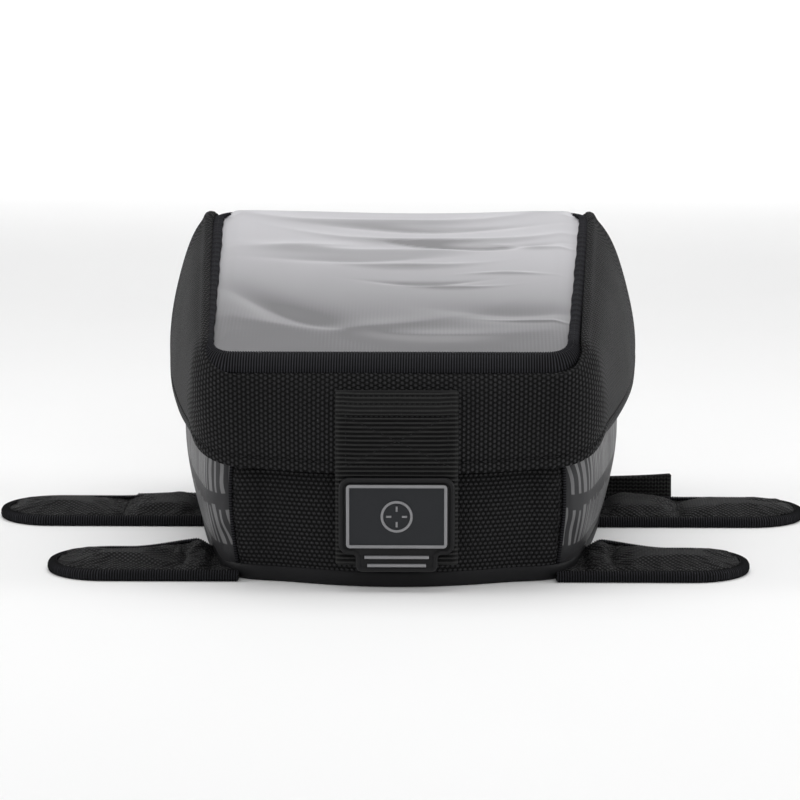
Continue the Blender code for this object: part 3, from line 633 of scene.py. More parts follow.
def grid_mesh(name, points, wrap_along=False, wrap_round=False):
    """A mesh of quads through a grid of points, and the column and row of each quad's corners."""
    columns, rows = points.shape[:2]
    across, up = np.meshgrid(
        np.arange(columns if wrap_along else columns - 1),
        np.arange(rows if wrap_round else rows - 1),
        indexing="ij",
    )
    corners = ((across, up), (across + 1, up), (across + 1, up + 1), (across, up + 1))
    faces = np.stack([(a % columns) * rows + b % rows for a, b in corners], -1).reshape(-1, 4)
    mesh = bpy.data.meshes.new(name)
    mesh.from_pydata(points.reshape(-1, 3).tolist(), [], faces.tolist())
    return mesh, corners


def skin(name, points, uv, finishes, wrap_along=False, wrap_round=False, second_rows=(), ribbed=None):
    """A mesh through a grid of points. uv has one more column or row than points where the grid wraps.

    ribbed gives the direction that ribs follow one another in, 0 or 1, and how much of them each point takes.
    """
    columns, rows = points.shape[:2]
    mesh, corners = grid_mesh(name, points, wrap_along, wrap_round)
    layer = mesh.uv_layers.new(name="cloth")
    flat = np.stack([uv[a, b] for a, b in corners], -2) / MM
    layer.data.foreach_set("uv", flat.astype(np.float32).ravel())
    if len(second_rows):
        second = np.isin(corners[0][1], second_rows)
        mesh.polygons.foreach_set("material_index", second.astype(np.int32).ravel())
    if ribbed is not None:
        for key, values in (("run", uv[:columns, :rows, ribbed[0]]), ("ribbed", ribbed[1])):
            attribute = mesh.attributes.new(key, "FLOAT", "POINT")
            attribute.data.foreach_set("value", np.ascontiguousarray(values, np.float32).ravel())
    mesh.shade_smooth()
    weld(mesh)
    return keep(name, mesh, finishes)


def lengths(points, axis, wrap=False):
    """Distance along the grid from its first column or row. Where it wraps, one more value closes it."""
    closed = np.concatenate([points, points.take([0], axis)], axis) if wrap else points
    run = np.cumsum(np.linalg.norm(np.diff(closed, axis=axis), axis=-1), axis)
    return np.concatenate([np.zeros_like(run.take([0], axis)), run], axis)


def face_normals(points, wrap):
    """Outward directions over a grid. Where a row shrinks to one point, it takes its neighbours' mean."""
    if wrap:
        along = np.roll(points, -1, 0) - np.roll(points, 1, 0)
    else:
        along = np.gradient(points, axis=0)
    normals = np.cross(along, np.gradient(points, axis=1))
    size = np.linalg.norm(normals, axis=-1, keepdims=True)
    normals = normals / np.maximum(size, 1e-15)
    for row, beside in ((0, 1), (-1, -2)):
        if size[:, row].max() < 1e-9:
            normals[:, row] = unit(normals[:, beside].mean(0))
    return normals


def lay_cloth(name, face, thickness, finishes, wrap=False, relief=None, plan_uv=False, ribbed=None):
    """A piece of cloth with both its faces and a rolled edge. face is the grid of its outer face.

    relief raises that face point by point. With plan_uv the pattern is laid on from above. A second finish goes
    on the inner face.
    """
    normals = face_normals(face, wrap)
    inner = face - normals * thickness
    outer = face if relief is None else face + normals * np.asarray(relief)[..., None]
    middle = (outer + inner) / 2
    roll = 0.45 * thickness
    foot = middle[:, :1] - unit(outer[:, 1:2] - outer[:, :1]) * roll
    top = middle[:, -1:] + unit(outer[:, -1:] - outer[:, -2:-1]) * roll
    ring = np.concatenate([outer, top, inner[:, ::-1], foot], 1)
    run, rise = lengths(outer, 0, wrap), lengths(outer, 1)
    if wrap:
        rise = np.concatenate([rise, rise[:1]], 0)
    else:
        run = run - run[len(run) // 2]
    if ribbed is not None and ribbed[0] == 0:
        run = run.mean(1, keepdims=True) * np.ones_like(run)
    flat = stack(outer[..., 0], outer[..., 1]) if plan_uv else stack(run, rise)
    if plan_uv and wrap:
        flat = np.concatenate([flat, flat[:1]], 0)
    uv = np.concatenate([flat, flat[:, -1:], flat[:, ::-1], flat[:, :1], flat[:, :1]], 1)
    rows = face.shape[1]
    if not wrap:
        ends = []
        for end, beside in ((0, 1), (-1, -2)):
            edge = (outer[end] + inner[end]) / 2 + unit(outer[end] - outer[beside]) * roll
            ends.append(np.concatenate([edge, top[end], edge[::-1], foot[end]], 0)[None])
        ring = np.concatenate([ends[0], ring, ends[1]], 0)
        uv = np.concatenate([uv[:1], uv, uv[-1:]], 0)
    weight = None
    if ribbed is not None:
        axis, amount = ribbed
        weight = np.zeros(ring.shape[:2])
        start = 0 if wrap else 1
        weight[start : start + len(face), :rows] = amount
        weight = (axis, weight)
    second = np.arange(rows + 1, 2 * rows) if len(finishes) > 1 else ()
    return skin(name, ring, uv, finishes, wrap, True, second, weight)


def sweep(name, path, side, up, profile, finishes, wrap=False, ribbed=None):
    """A closed profile carried along a path. Its points are (sideways, up) and run anticlockwise."""
    path, side, up = (np.asarray(a, float) for a in (path, side, up))
    profile = np.asarray(profile, float)
    if profile.ndim == 2:
        profile = np.broadcast_to(profile, (len(path), *profile.shape))
    ring = path[:, None] + side[:, None] * profile[..., :1] + up[:, None] * profile[..., 1:]
    run, round_it = lengths(ring, 0, wrap), lengths(ring, 1, True)
    run = np.concatenate([run, run[:, :1]], 1)
    if wrap:
        round_it = np.concatenate([round_it, round_it[:1]], 0)
    uv = stack(run.mean(1, keepdims=True) * np.ones_like(run), round_it)
    if not wrap:
        middles = ring.mean(1, keepdims=True) * np.ones_like(ring)
        ring = np.concatenate([middles[:1], ring, middles[-1:]], 0)
        uv = np.concatenate([uv[:1], uv, uv[-1:]], 0)
    weight = None
    if ribbed is not None:
        amount = np.broadcast_to(ribbed[1], ring.shape[:2] if wrap else (len(ring) - 2, ring.shape[1]))
        if not wrap:
            amount = np.concatenate([amount[:1] * 0, amount, amount[-1:] * 0], 0)
        weight = (ribbed[0], amount)
    return skin(name, ring, uv, finishes, wrap, True, (), weight)


def frames_of(path, up, wrap=False):
    """Unit side vectors of a path, square to it and to up."""
    path = np.asarray(path, float)
    along = np.roll(path, -1, 0) - np.roll(path, 1, 0) if wrap else np.gradient(path, axis=0)
    up = np.broadcast_to(np.asarray(up, float), path.shape)
    side = unit(np.cross(along, up))
    return side, unit(np.cross(side, unit(along)))


def piping_along(name, path, up, radius, finish):
    """Thin round piping along a path."""
    side, upright = frames_of(path, up)
    turn = np.linspace(0, math.tau, 10, endpoint=False)
    profile = stack(np.cos(turn) * radius, np.sin(turn) * radius)
    return sweep(name, path, side, upright, profile, [finish])


# ---------------------------------------------------------------- geometry node trees
class Nodes:
    """A Geometry Nodes tree with named inputs. It ends by realising what it made and giving it a finish."""

    def __init__(self, name, inputs):
        self.tree = bpy.data.node_groups.new(name, "GeometryNodeTree")
        face = self.tree.interface
        face.new_socket("Geometry", in_out="INPUT", socket_type="NodeSocketGeometry")
        for label, kind, default in inputs:
            socket = face.new_socket(label, in_out="INPUT", socket_type=f"NodeSocket{kind}")
            if default is not None:
                socket.default_value = default
        face.new_socket("Geometry", in_out="OUTPUT", socket_type="NodeSocketGeometry")
        self.inputs = self.tree.nodes.new("NodeGroupInput")

    def node(self, kind, settings=None, sockets=None):
        made = self.tree.nodes.new(kind)
        for key, value in (settings or {}).items():
            setattr(made, key, value)
        for key, value in (sockets or {}).items():
            if isinstance(value, bpy.types.NodeSocket):
                self.tree.links.new(value, made.inputs[key])
            else:
                made.inputs[key].default_value = value
        return made

    def maths(self, operation, *values):
        return self.node("ShaderNodeMath", {"operation": operation}, dict(enumerate(values))).outputs[0]

    def attribute(self, name, kind="FLOAT"):
        read = self.node("GeometryNodeInputNamedAttribute", {"data_type": kind}, {"Name": name})
        return read.outputs["Attribute"]

    def finish(self, geometry):
        real = self.node("GeometryNodeRealizeInstances", None, {"Geometry": geometry}).outputs[0]
        soft = self.node("GeometryNodeSetShadeSmooth", None, {"Geometry": real}).outputs[0]
        finish = self.inputs.outputs["Finish"]
        done = self.node("GeometryNodeSetMaterial", None, {"Geometry": soft, "Material": finish})
        self.node("NodeGroupOutput", None, {"Geometry": done.outputs[0]})
        return self.tree


def stitch_tree():
    """Stitches along edges: each a small bead of thread laid along the seam, flat on the cloth."""
    made = Nodes(
        "stitch_row",
        (
            ("Pitch", "Float", 2.6 * MM), ("Stitch Length", "Float", 1.9 * MM),
            ("Thread Radius", "Float", 0.22 * MM), ("Seed", "Int", 3), ("Finish", "Material", None),
        ),
    )
    given = made.inputs.outputs
    seam = made.node("GeometryNodeMeshToCurve", None, {"Mesh": given["Geometry"]}).outputs[0]
    spaced = made.node(
        "GeometryNodeResampleCurve", {"mode": "LENGTH"}, {"Curve": seam, "Length": given["Pitch"]}
    )
    bead = made.node("GeometryNodeMeshUVSphere", None, {"Segments": 6, "Rings": 5, "Radius": 1.0})
    tangent = made.node("GeometryNodeInputTangent").outputs[0]
    along = made.node("FunctionNodeAlignRotationToVector", {"axis": "X"}, {"Vector": tangent}).outputs[0]
    upright = made.node(
        "FunctionNodeAlignRotationToVector", {"axis": "Z", "pivot_axis": "X"},
        {"Rotation": along, "Vector": made.attribute("up", "FLOAT_VECTOR")},
    ).outputs[0]
    uneven = made.node("FunctionNodeRandomValue", None, {2: 0.88, 3: 1.06, "Seed": given["Seed"]}).outputs[1]
    half = made.maths("MULTIPLY", made.maths("MULTIPLY", given["Stitch Length"], 0.5), uneven)
    radius = given["Thread Radius"]
    size = made.node("ShaderNodeCombineXYZ", None, {"X": half, "Y": radius, "Z": radius})
    placed = made.node(
        "GeometryNodeInstanceOnPoints", None,
        {
            "Points": spaced.outputs[0], "Instance": bead.outputs[0], "Rotation": upright,
            "Scale": size.outputs[0],
        },
    )
    return made.finish(placed.outputs[0])


def rib_tree():
    """Ribs across tape or webbing: the cloth's outer face is raised and lowered along its run."""
    made = Nodes(
        "woven_ribs",
        (("Rib Pitch", "Float", 0.8 * MM), ("Rib Height", "Float", 0.1 * MM), ("Finish", "Material", None)),
    )
    given = made.inputs.outputs
    turns = made.maths("MULTIPLY", made.maths("DIVIDE", made.attribute("run"), given["Rib Pitch"]), math.tau)
    wave = made.maths("MULTIPLY", made.maths("SINE", turns), given["Rib Height"])
    lift = made.maths("MULTIPLY", wave, made.attribute("ribbed"))
    normal = made.node("GeometryNodeInputNormal").outputs[0]
    offset = made.node("ShaderNodeVectorMath", {"operation": "SCALE"}, {0: normal, "Scale": lift}).outputs[0]
    moved = made.node("GeometryNodeSetPosition", None, {"Geometry": given["Geometry"], "Offset": offset})
    return made.finish(moved.outputs[0])


def hook_tree():
    """Rows of small bent hooks standing on a patch."""
    made = Nodes(
        "hook_rows",
        (
            ("Spacing", "Float", 1.3 * MM), ("Hook Height", "Float", 0.9 * MM), ("Columns", "Int", 30),
            ("Rows", "Int", 20), ("Seed", "Int", 5), ("Finish", "Material", None),
        ),
    )
    given = made.inputs.outputs
    wide = made.maths("MULTIPLY", made.maths("SUBTRACT", given["Columns"], 1.0), given["Spacing"])
    tall = made.maths("MULTIPLY", made.maths("SUBTRACT", given["Rows"], 1.0), given["Spacing"])
    field = made.node(
        "GeometryNodeMeshGrid", None,
        {"Size X": wide, "Size Y": tall, "Vertices X": given["Columns"], "Vertices Y": given["Rows"]},
    )
    stem = made.node("GeometryNodeMeshCone", None, {"Vertices": 5, "Side Segments": 2, "Depth": 1.0})
    for label, value in (("Radius Top", 0.16), ("Radius Bottom", 0.28)):
        stem.inputs[label].default_value = value
    turn = made.node("FunctionNodeRandomValue", {"data_type": "FLOAT_VECTOR"}, {"Seed": given["Seed"]})
    turn.inputs[0].default_value, turn.inputs[1].default_value = (-0.35, 0.1, -0.4), (0.35, 0.7, 0.4)
    placed = made.node(
        "GeometryNodeInstanceOnPoints", None,
        {
            "Points": field.outputs[0], "Instance": stem.outputs[0], "Rotation": turn.outputs[0],
            "Scale": given["Hook Height"],
        },
    )
    whole = made.node("GeometryNodeJoinGeometry")
    for part in (given["Geometry"], placed.outputs[0]):
        made.tree.links.new(part, whole.inputs[0])
    return made.finish(whole.outputs[0])


TREES = {}


def through(obj, tree, finish, **values):
    """Runs a node tree on a piece and keeps what comes out as its plain mesh."""
    modifier = obj.modifiers.new(tree, "NODES")
    modifier.node_group = TREES[tree]
    values["Finish"] = FINISHES[finish]
    for item in TREES[tree].interface.items_tree:
        if item.in_out == "INPUT" and item.name.replace(" ", "_") in values:
            modifier[item.identifier] = values[item.name.replace(" ", "_")]
    obj.update_tag()
    made = bpy.data.meshes.new_from_object(obj.evaluated_get(bpy.context.evaluated_depsgraph_get()))
    obj.modifiers.remove(modifier)
    made.name = obj.name
    obj.data = made
    return obj


def sew(name, seams, body, sewing, scale=1.0, slot="binding_tape"):
    """Stitches along seams, each a list of points with the cloth's outward direction at each point."""
    points, edges, ups = [], [], []
    for path, up in seams:
        path = np.asarray(path, float)
        up = np.broadcast_to(np.asarray(up, float), path.shape)
        edges += [(len(points) + i, len(points) + i + 1) for i in range(len(path) - 1)]
        points += path.tolist()
        ups.append(up)
    mesh = bpy.data.meshes.new(name)
    mesh.from_pydata(points, edges, [])
    attribute = mesh.attributes.new("up", "FLOAT_VECTOR", "POINT")
    attribute.data.foreach_set("vector", np.concatenate(ups).astype(np.float32).ravel())
    obj = keep(name, mesh, ["thread"])
    through(
        obj, "stitch_row", "thread", Pitch=sewing.stitch_pitch * scale,
        Stitch_Length=sewing.stitch_length * scale, Thread_Radius=sewing.thread_radius * (0.5 + 0.5 * scale),
    )
    return finish_piece(obj, body, slot)


def finish_piece(obj, body, slot, *replaced):
    """The piece moves with one body and stands for the CAD nodes named last. slot is not used."""
    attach(obj, body)
    if replaced:
        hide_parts(*replaced)
    return obj


def puff(obj, sewn, pressure, slack, cap, frames=20):
    """Blows a sheet up with cloth simulation, held where it is sewn. Gives where its points end."""
    scene = bpy.context.scene
    rest = places(obj.data)
    group = obj.vertex_groups.new(name="sewn")
    group.add([int(i) for i in sewn], 1.0, "REPLACE")
    cloth = obj.modifiers.new("puff", "CLOTH")
    settings = cloth.settings
    settings.quality = 5
    settings.mass = 0.3
    settings.vertex_group_mass = group.name
    settings.use_pressure = True
    settings.uniform_pressure_force = pressure
    settings.shrink_min = -slack
    settings.effector_weights.gravity = 0.0
    settings.bending_stiffness = 0.4
    cloth.collision_settings.use_collision = False
    cloth.point_cache.frame_end = frames
    for number in range(1, frames + 1):
        scene.frame_set(number)
    evaluated = obj.evaluated_get(bpy.context.evaluated_depsgraph_get())
    move = places(evaluated.data) - rest
    size = np.linalg.norm(move, axis=1, keepdims=True)
    move *= np.minimum(1.0, cap / np.maximum(size, 1e-9))
    obj.modifiers.remove(cloth)
    obj.vertex_groups.remove(group)
    scene.frame_set(1)
    return rest + move


def puffed_grid(points, sewn, pressure, slack, cap):
    """A grid of points after the simulation. sewn is true where the cloth is held."""
    obj = bpy.data.objects.new("trial", grid_mesh("trial", points)[0])
    bpy.context.scene.collection.objects.link(obj)
    found = puff(obj, np.flatnonzero(sewn.ravel()), pressure, slack, cap)
    bpy.data.objects.remove(obj)
    return points if found is None else found.reshape(points.shape).astype(float)


# ---------------------------------------------------------------- lid
SKIRT_FIRST, SKIRT_LAST = -2.48, 3.48
HEM_LINE = 4.2 * MM


def on_skirt(t, height, lift):
    """Points on the skirt lifted off it, and the outward directions there."""
    base = skirt(t, height)
    out = unit(skirt(t, height, -1 * MM) - base)
    return base + out * lift, out


def tucked(t, height):
    """The skirt's grid with one more row, which goes in under the window tape."""
    face = skirt(t, height)
    under = window_tape(t[:, -1:], 0 * t[:, -1:] + 0.55) - (0, 0, 2.6 * MM)
    face = np.concatenate([face, under], 1)
    return np.concatenate([t, t[:, -1:]], 1), np.concatenate([height, height[:, -1:] + 0.02], 1), face


def build_lid_shell():
    rows = np.concatenate([np.linspace(0, 0.14, 14), np.linspace(0.16, 1.0, 34)])
    t, h = np.meshgrid(np.linspace(SKIRT_FIRST, SKIRT_LAST, 300), rows, indexing="ij")
    t, h, face = tucked(t, h)
    rise = lengths(face, 1)
    out = WINDOW.normal(t)
    side = np.abs(out[..., 0])
    relief = ripple(t, h, 0.35 * MM, 1.0)
    relief -= 0.55 * MM * bell(rise - HEM_LINE, 0.75 * MM)
    relief += 0.3 * MM * (rise < 3.4 * MM)
    relief += side * (0.8 * MM * bell(h - 0.62, 0.2) + 2.4 * MM * bell(h - 0.9, 0.07))
    obj = lay_cloth("lid_skirt_shell", face, 1.5 * MM, ["lid_ballistic", "tape"], relief=relief)
    finish_piece(obj, "lid", "ballistic_nylon", "lid_skirt", "lid_hem")

    t, h = grid(SKIRT_FIRST + 0.02, SKIRT_LAST - 0.02, 160, 16, 0.09, 0.93)
    inner = skirt(t, h, 1.9 * MM)
    obj = lay_cloth("lid_lining_cloth", inner, 0.6 * MM, ["lining"], relief=ripple(2 * t, h, 0.08 * MM, 4.0))
    finish_piece(obj, "lid", "grey_lining", "lid_lining")

    t, h, face = tucked(*grid(3.52, 5.48, 140, 30))
    relief = ripple(t, h, 0.35 * MM, 2.2) - 0.6 * MM * bell(h - 0.07, 0.02)
    obj = lay_cloth("lid_back", face, 1.5 * MM, ["lid_ballistic", "lining"], relief=relief)
    finish_piece(obj, "lid", "ballistic_nylon", "lid_rear_wall")

    for hand, at in (("right", 3.5), ("left", 5.5)):
        heights = np.linspace(0.02, 0.99, 60)
        path, up = on_skirt(np.full(60, at), heights, 0.1 * MM)
        piping = piping_along(f"lid_piping_{hand}", path, up, 1.15 * MM, "tape")
        finish_piece(piping, "lid", "binding_tape")


def sew_lid(sewing):
    """The hem's stitches keep one distance from the skirt's lower edge."""
    t = np.linspace(SKIRT_FIRST + 0.03, SKIRT_LAST - 0.03, 400)
    probe = np.linspace(0, 0.3, 40)
    section = skirt(t[:, None] + 0 * probe, 0 * t[:, None] + probe)
    heights = np.array([np.interp(HEM_LINE, run, probe) for run in lengths(section, 1)])
    back = np.linspace(3.6, 5.4, 120)
    seams = [on_skirt(t, heights, -0.25 * MM), on_skirt(back, np.full(120, 0.07), -0.3 * MM)]
    sew("lid_hem_stitches", seams, "lid", sewing)


# ---------------------------------------------------------------- window
STREAKS = (
    # The film's wrinkles: x, y, half length, width and height in millimetres, then bend and slope.
    (-8, 71, 46, 4.4, 1.5, 0.0035, 0.0),
    (12, 62, 36, 2.4, -0.9, 0.0030, 0.0),
    (16, 45, 42, 3.0, 1.5, 0.0040, 0.0),
    (30, 38, 28, 1.8, -1.0, 0.0045, 0.0),
    (-6, 33, 40, 4.0, 0.9, 0.0030, 0.0),
    (-22, 24, 30, 3.4, -0.7, 0.0020, 0.0),
    (4, 16, 24, 2.2, 0.8, 0.0040, 0.0),
    (10, -6, 18, 1.5, -0.65, 0.0060, 0.0),
    (24, -10, 16, 1.2, 0.5, 0.0050, 0.0),
    (48, 8, 14, 1.2, 0.45, -0.0040, 0.0),
    (62, 40, 14, 1.6, 0.5, 0.0060, 0.0),
    (-44, 40, 22, 5.0, 0.9, 0.0020, 0.0),
    (-45, -42, 26, 11.0, -1.9, 0.0050, -0.85),
    (-24, -58, 40, 8.0, 0.8, 0.0060, 0.0),
    (18, -66, 30, 5.0, 0.7, 0.0030, 0.0),
    (50, -40, 26, 8.0, -0.9, 0.0040, 0.0),
    (58, -48, 16, 1.3, 0.4, 0.0030, 0.0),
)


def wrinkles(x, y, slack):
    height = np.zeros_like(x)
    for at_x, at_y, half, width, size, bend, slope in STREAKS:
        aside = x / MM - at_x
        across = y / MM - at_y - slope * aside - bend * aside**2
        height += size * np.exp(-((aside / half) ** 2)) * np.exp(-((np.abs(across) / width) ** 1.6))
    return slack * height


def askew(at):
    """The window sits a little to the left on the lid towards the rider."""
    return at - stack(0.4 * MM + 2.8 * MM * (WINDOW_REAR_Y - at[..., 1]) / WINDOW_DEPTH, 0 * at[..., 1])


def sunk(x, y):
    """How far the middle of the window's rear edge hangs."""
    return 1.5 * MM * bell(x - 8 * MM, 52 * MM) * smooth((y - 62 * MM) / (24 * MM))


def window_tape(t, v):
    """The tape's face: v is 0 at the film and 1 at the skirt. It rolls down over both ends of the window."""
    out = TAPE.normal(t)
    facing = np.maximum(-out[..., 1], 0.0) + 0.8 * np.maximum(out[..., 1], 0.0)
    wavy = 0.12 * MM * (np.sin(t * 23.0) + np.sin(t * 61.0 + 2)) * np.abs(out[..., 0]) * (1 - v)
    at = TAPE.point(t)
    z = top_z(at[..., 1]) + 1.5 * MM + 0.5 * MM * np.sin(math.pi * v) - TAPE_ROLL * facing * v * v
    z = z - 1.2 * MM * np.maximum(-out[..., 1], 0.0) - sunk(at[..., 0], at[..., 1])
    at = askew(at + out * (tape_width(t) * v + wavy)[..., None])
    return stack(at[..., 0], at[..., 1], z)


def film_half(y):
    """Half the film's width at y; its corners are rounded like the tape's."""
    rear, front = (np.clip(into / (9.2 * MM), 0, 1) for into in (y - 79 * MM, -72 * MM - y))
    full = between(76.2 * MM, 85.6 * MM, (y - FILM_FRONT_Y) / FILM_DEPTH)
    return full - 9 * MM * (1 - np.sqrt(1 - rear * rear)) - 6 * MM * (1 - np.sqrt(1 - front * front))


def build_film(cloth):
    columns, rows = 150, 190
    u, v = grid(0, 1, columns, rows)
    y = between(FILM_FRONT_Y, FILM_REAR_Y, v)
    half = film_half(y)
    at = askew(stack(between(-half, half, u), y))
    x = at[..., 0]
    edge = np.minimum(np.minimum(u, 1 - u) * 150 * MM, v * 68 * MM)
    fade = smooth(edge / (9 * MM))
    over_rear = smooth((y - 84.5 * MM) / (4 * MM))
    brow = 88.5 * MM
    z = top_z(np.minimum(y, brow)) - 0.1 * MM + 2.5 * MM * over_rear + 2.0 * MM * fade * (1 - over_rear)
    z = z - sunk(x, y) - 0.5 * (np.maximum(y, brow) - brow)
    folds = wrinkles(x, y, cloth.film_slack)
    steep = np.gradient(folds, axis=1) / np.gradient(y, axis=1)
    obj = lay_cloth("clear_window", stack(x, y, z + folds * fade), 0.4 * MM, ["film"], plan_uv=True)
    # Painted shade for one side of each wrinkle, from the wrinkle's slope.
    shades = obj.data.attributes.new("crease", "FLOAT", "POINT")
    spot = places(obj.data)
    row = np.clip((spot[:, 1] - FILM_FRONT_Y) / FILM_DEPTH, 0, 1)
    reach = film_half(spot[:, 1])
    middle = askew(stack(0 * row, spot[:, 1]))[:, 0]
    column = np.clip((spot[:, 0] - middle + reach) / (2 * reach), 0, 1)
    near = steep[np.round(column * (columns - 1)).astype(int), np.round(row * (rows - 1)).astype(int)]
    shades.data.foreach_set("value", np.clip(near * 1.7, -1, 1).astype(np.float32))
    finish_piece(obj, "lid", "window_film", "window_film")


def build_window_tape(sewing):
    u, v = grid(0, 1, 2400, 8)
    face = window_tape(8 * u + 5, 1 - v)
    dip = 0.35 * MM * bell(1 - v - 0.34, 0.07) * np.abs(TAPE.normal(8 * u + 5)[..., 1])
    obj = lay_cloth("window_tape", face[:-1], 1.3 * MM, ["tape"], True, relief=-dip[:-1], ribbed=(0, 1.0))
    through(obj, "woven_ribs", "tape", Rib_Pitch=sewing.tape_rib, Rib_Height=TAPE_RIB_HEIGHT)
    finish_piece(obj, "lid", "binding_tape", "window_binding")
    t = np.linspace(0, 8, 700)
    line = window_tape(t, between(0.5, 0.34, np.abs(TAPE.normal(t)[:, 1])))
    sew("window_stitches", [(line - (0, 0, 0.05 * MM), (0, -0.2, 1))], "lid", sewing, 0.8)


def build_pouch():
    u, v = grid(0, 1, 200, 40)
    out = 1 - v**1.8
    t = 8 * u + 5
    middle = np.array([0.0, -4.75 * MM])
    at = middle + (POCKET.point(t) - middle) * out[..., None]
    normal_y = POCKET.normal(t)[..., 1]
    rise = smooth((out - 0.945) / 0.055) * (1 - smooth((normal_y - 0.2) / 0.5))
    z = top_z(at[..., 1]) - POCKET_DEPTH + 1 * MM + (POCKET_DEPTH - 2.4 * MM) * rise
    obj = lay_cloth(
        "phone_pouch", stack(at[..., 0], at[..., 1], z)[:-1], 0.9 * MM, ["lining"], True,
        relief=ripple(at[:-1, :, 0] / (20 * MM), at[:-1, :, 1] / (40 * MM), 0.15 * MM, 7.0), plan_uv=True,
    )
    finish_piece(obj, "lid", "grey_lining", "pocket_back")


# ---------------------------------------------------------------- closure strap
def strap_face(x, lift):
    """The strap's outer face as rows from its sewn top to its lower end, at the sideways places x."""
    heights = np.linspace(0.66, 0.135, 60)
    front = between(59 * MM, 66 * MM, heights * heights * (3 - 2 * heights))
    t = 0.5 + x[None] / (2 * front[:, None])
    upper = skirt(t, np.broadcast_to(heights[:, None], t.shape), -(0.4 * MM + lift))
    down = np.linspace(1.5 * MM, 43 * MM, 50)[:, None]
    outward = lift - STRAP / 2
    lower = stack(
        x[None] + 0 * down,
        TAB_HINGE.y - outward * math.cos(TAB_LEAN) - down * math.sin(TAB_LEAN),
        TAB_HINGE.z - down * math.cos(TAB_LEAN),
    )
    rows = np.concatenate([upper, lower], 0)
    for _ in range(6):
        rows[56:66] = (rows[55:65] + rows[57:67] + 2 * rows[56:66]) / 4
    return rows


def resample(rows, step):
    """Rows of points spaced evenly, as measured down the middle column."""
    run = lengths(rows[:, rows.shape[1] // 2][:, None], 0)[:, 0]
    wanted = np.linspace(0, run[-1], int(run[-1] / step))
    made = np.empty((len(wanted), *rows.shape[1:]))
    for column in range(rows.shape[1]):
        for axis in range(3):
            made[:, column, axis] = np.interp(wanted, run, rows[:, column, axis])
    return made, wanted


def across_hinge(obj, hinge, reach):
    """Bakes a piece's transform into its mesh. The ends of a short height round the hinge are worked out but
    not used.
    """
    start, end = ((0, hinge.y, hinge.z + rise) for rise in (reach, -reach))
    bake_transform(obj)
    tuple(start)
    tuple(end)


def build_strap(sewing):
    x = np.linspace(-STRAP_HALF, STRAP_HALF, 41)
    rows, run = resample(strap_face(x, STRAP), 0.22 * MM)
    fold = smooth((9.5 * MM - run) / (0.8 * MM))
    lines = bell(run - 1.8 * MM, 0.5 * MM) + bell(run - 5.0 * MM, 0.5 * MM)
    relief = 0.7 * MM * fold[:, None] - 0.35 * MM * lines[:, None]
    relief = relief - 0.25 * MM * smooth((np.abs(x) - 23.5 * MM) / MM)[None]
    ribbed = smooth((run - 9.5 * MM) / MM)[:, None] * (1 - 0.7 * smooth((np.abs(x) - 23.6 * MM) / MM))[None]
    box_low, box_high, box_half = 10.5 * MM, 31.0 * MM, 21 * MM
    diagonal = np.abs(np.abs(x[None]) / box_half - np.abs(run[:, None] - 20.75 * MM) / (10.25 * MM)) * 10
    in_box = smooth((run - box_low) / MM) * smooth((box_high - run) / MM)
    ribbed = ribbed * (1 - 0.75 * in_box[:, None] * bell(diagonal, 0.9))
    edges = bell(np.abs(x) - box_half, 0.5 * MM)[None] * in_box[:, None]
    across = (bell(run - box_low, 0.5 * MM) + bell(run - box_high, 0.5 * MM))[:, None]
    across = across * (np.abs(x) < 21.5 * MM)[None]
    relief -= 0.3 * MM * (edges + across + 0.8 * bell(diagonal, 0.5) * in_box[:, None])
    obj = lay_cloth(
        "closure_strap", rows[::-1].swapaxes(0, 1), STRAP - 0.1 * MM, ["webbing"], relief=relief[::-1].T,
        ribbed=(1, ribbed[::-1].T),
    )
    through(obj, "woven_ribs", "webbing", Rib_Pitch=sewing.webbing_rib, Rib_Height=0.4 * MM)
    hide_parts("closure_strap_upper", "closure_strap_lower")
    across_hinge(obj, TAB_HINGE, 5 * MM)

    def at(side, down):
        row, column = np.interp(down, run, np.arange(len(run))), np.interp(side, x, np.arange(len(x)))
        return rows[np.round(row).astype(int), np.round(column).astype(int)] + np.array([0, -0.05 * MM, 0])

    wide, inner = (np.linspace(-half, half, 60) for half in (23 * MM, box_half))
    upright = np.linspace(box_low, box_high, 40)
    slanting = between(box_low, box_high, (inner + box_half) / (2 * box_half))
    lines = [at(wide, np.full(60, down)) + np.array([0, -0.5 * MM, 0]) for down in (1.8 * MM, 5.0 * MM)]
    lines += [at(inner, np.full(60, down)) for down in (box_low, box_high)]
    lines += [at(np.full(40, side), upright) for side in (-box_half, box_half)]
    lines += [at(inner * way, slanting) for way in (1, -1)]
    sew("strap_stitches", [(line, (0, -1, 0)) for line in lines], "lid", sewing, 0.8, "webbing")


# ---------------------------------------------------------------- moulded patch
def arc(x, y, radius, start, turn, steps=8):
    angles = np.radians(start + turn * np.linspace(0, 1, steps + 1))
    return stack(x + radius * np.cos(angles), y + radius * np.sin(angles))


def patch_edge():
    foot = -PATCH_HEIGHT
    right = np.concatenate(
        [
            arc(PATCH_HALF - PATCH_ROUND, -PATCH_ROUND, PATCH_ROUND, 90, -90),
            arc(PATCH_HALF - PATCH_ROUND, foot + PATCH_ROUND, PATCH_ROUND, 0, -90),
            arc(TONGUE_HALF + 1.5 * MM, foot - 1.5 * MM, 1.5 * MM, 90, 90),
            arc(TONGUE_HALF - 3 * MM, foot - TONGUE_HEIGHT + 3 * MM, 3 * MM, 0, -90),
        ]
    )
    return np.concatenate([right, right[::-1] * (-1, 1)])[::-1]


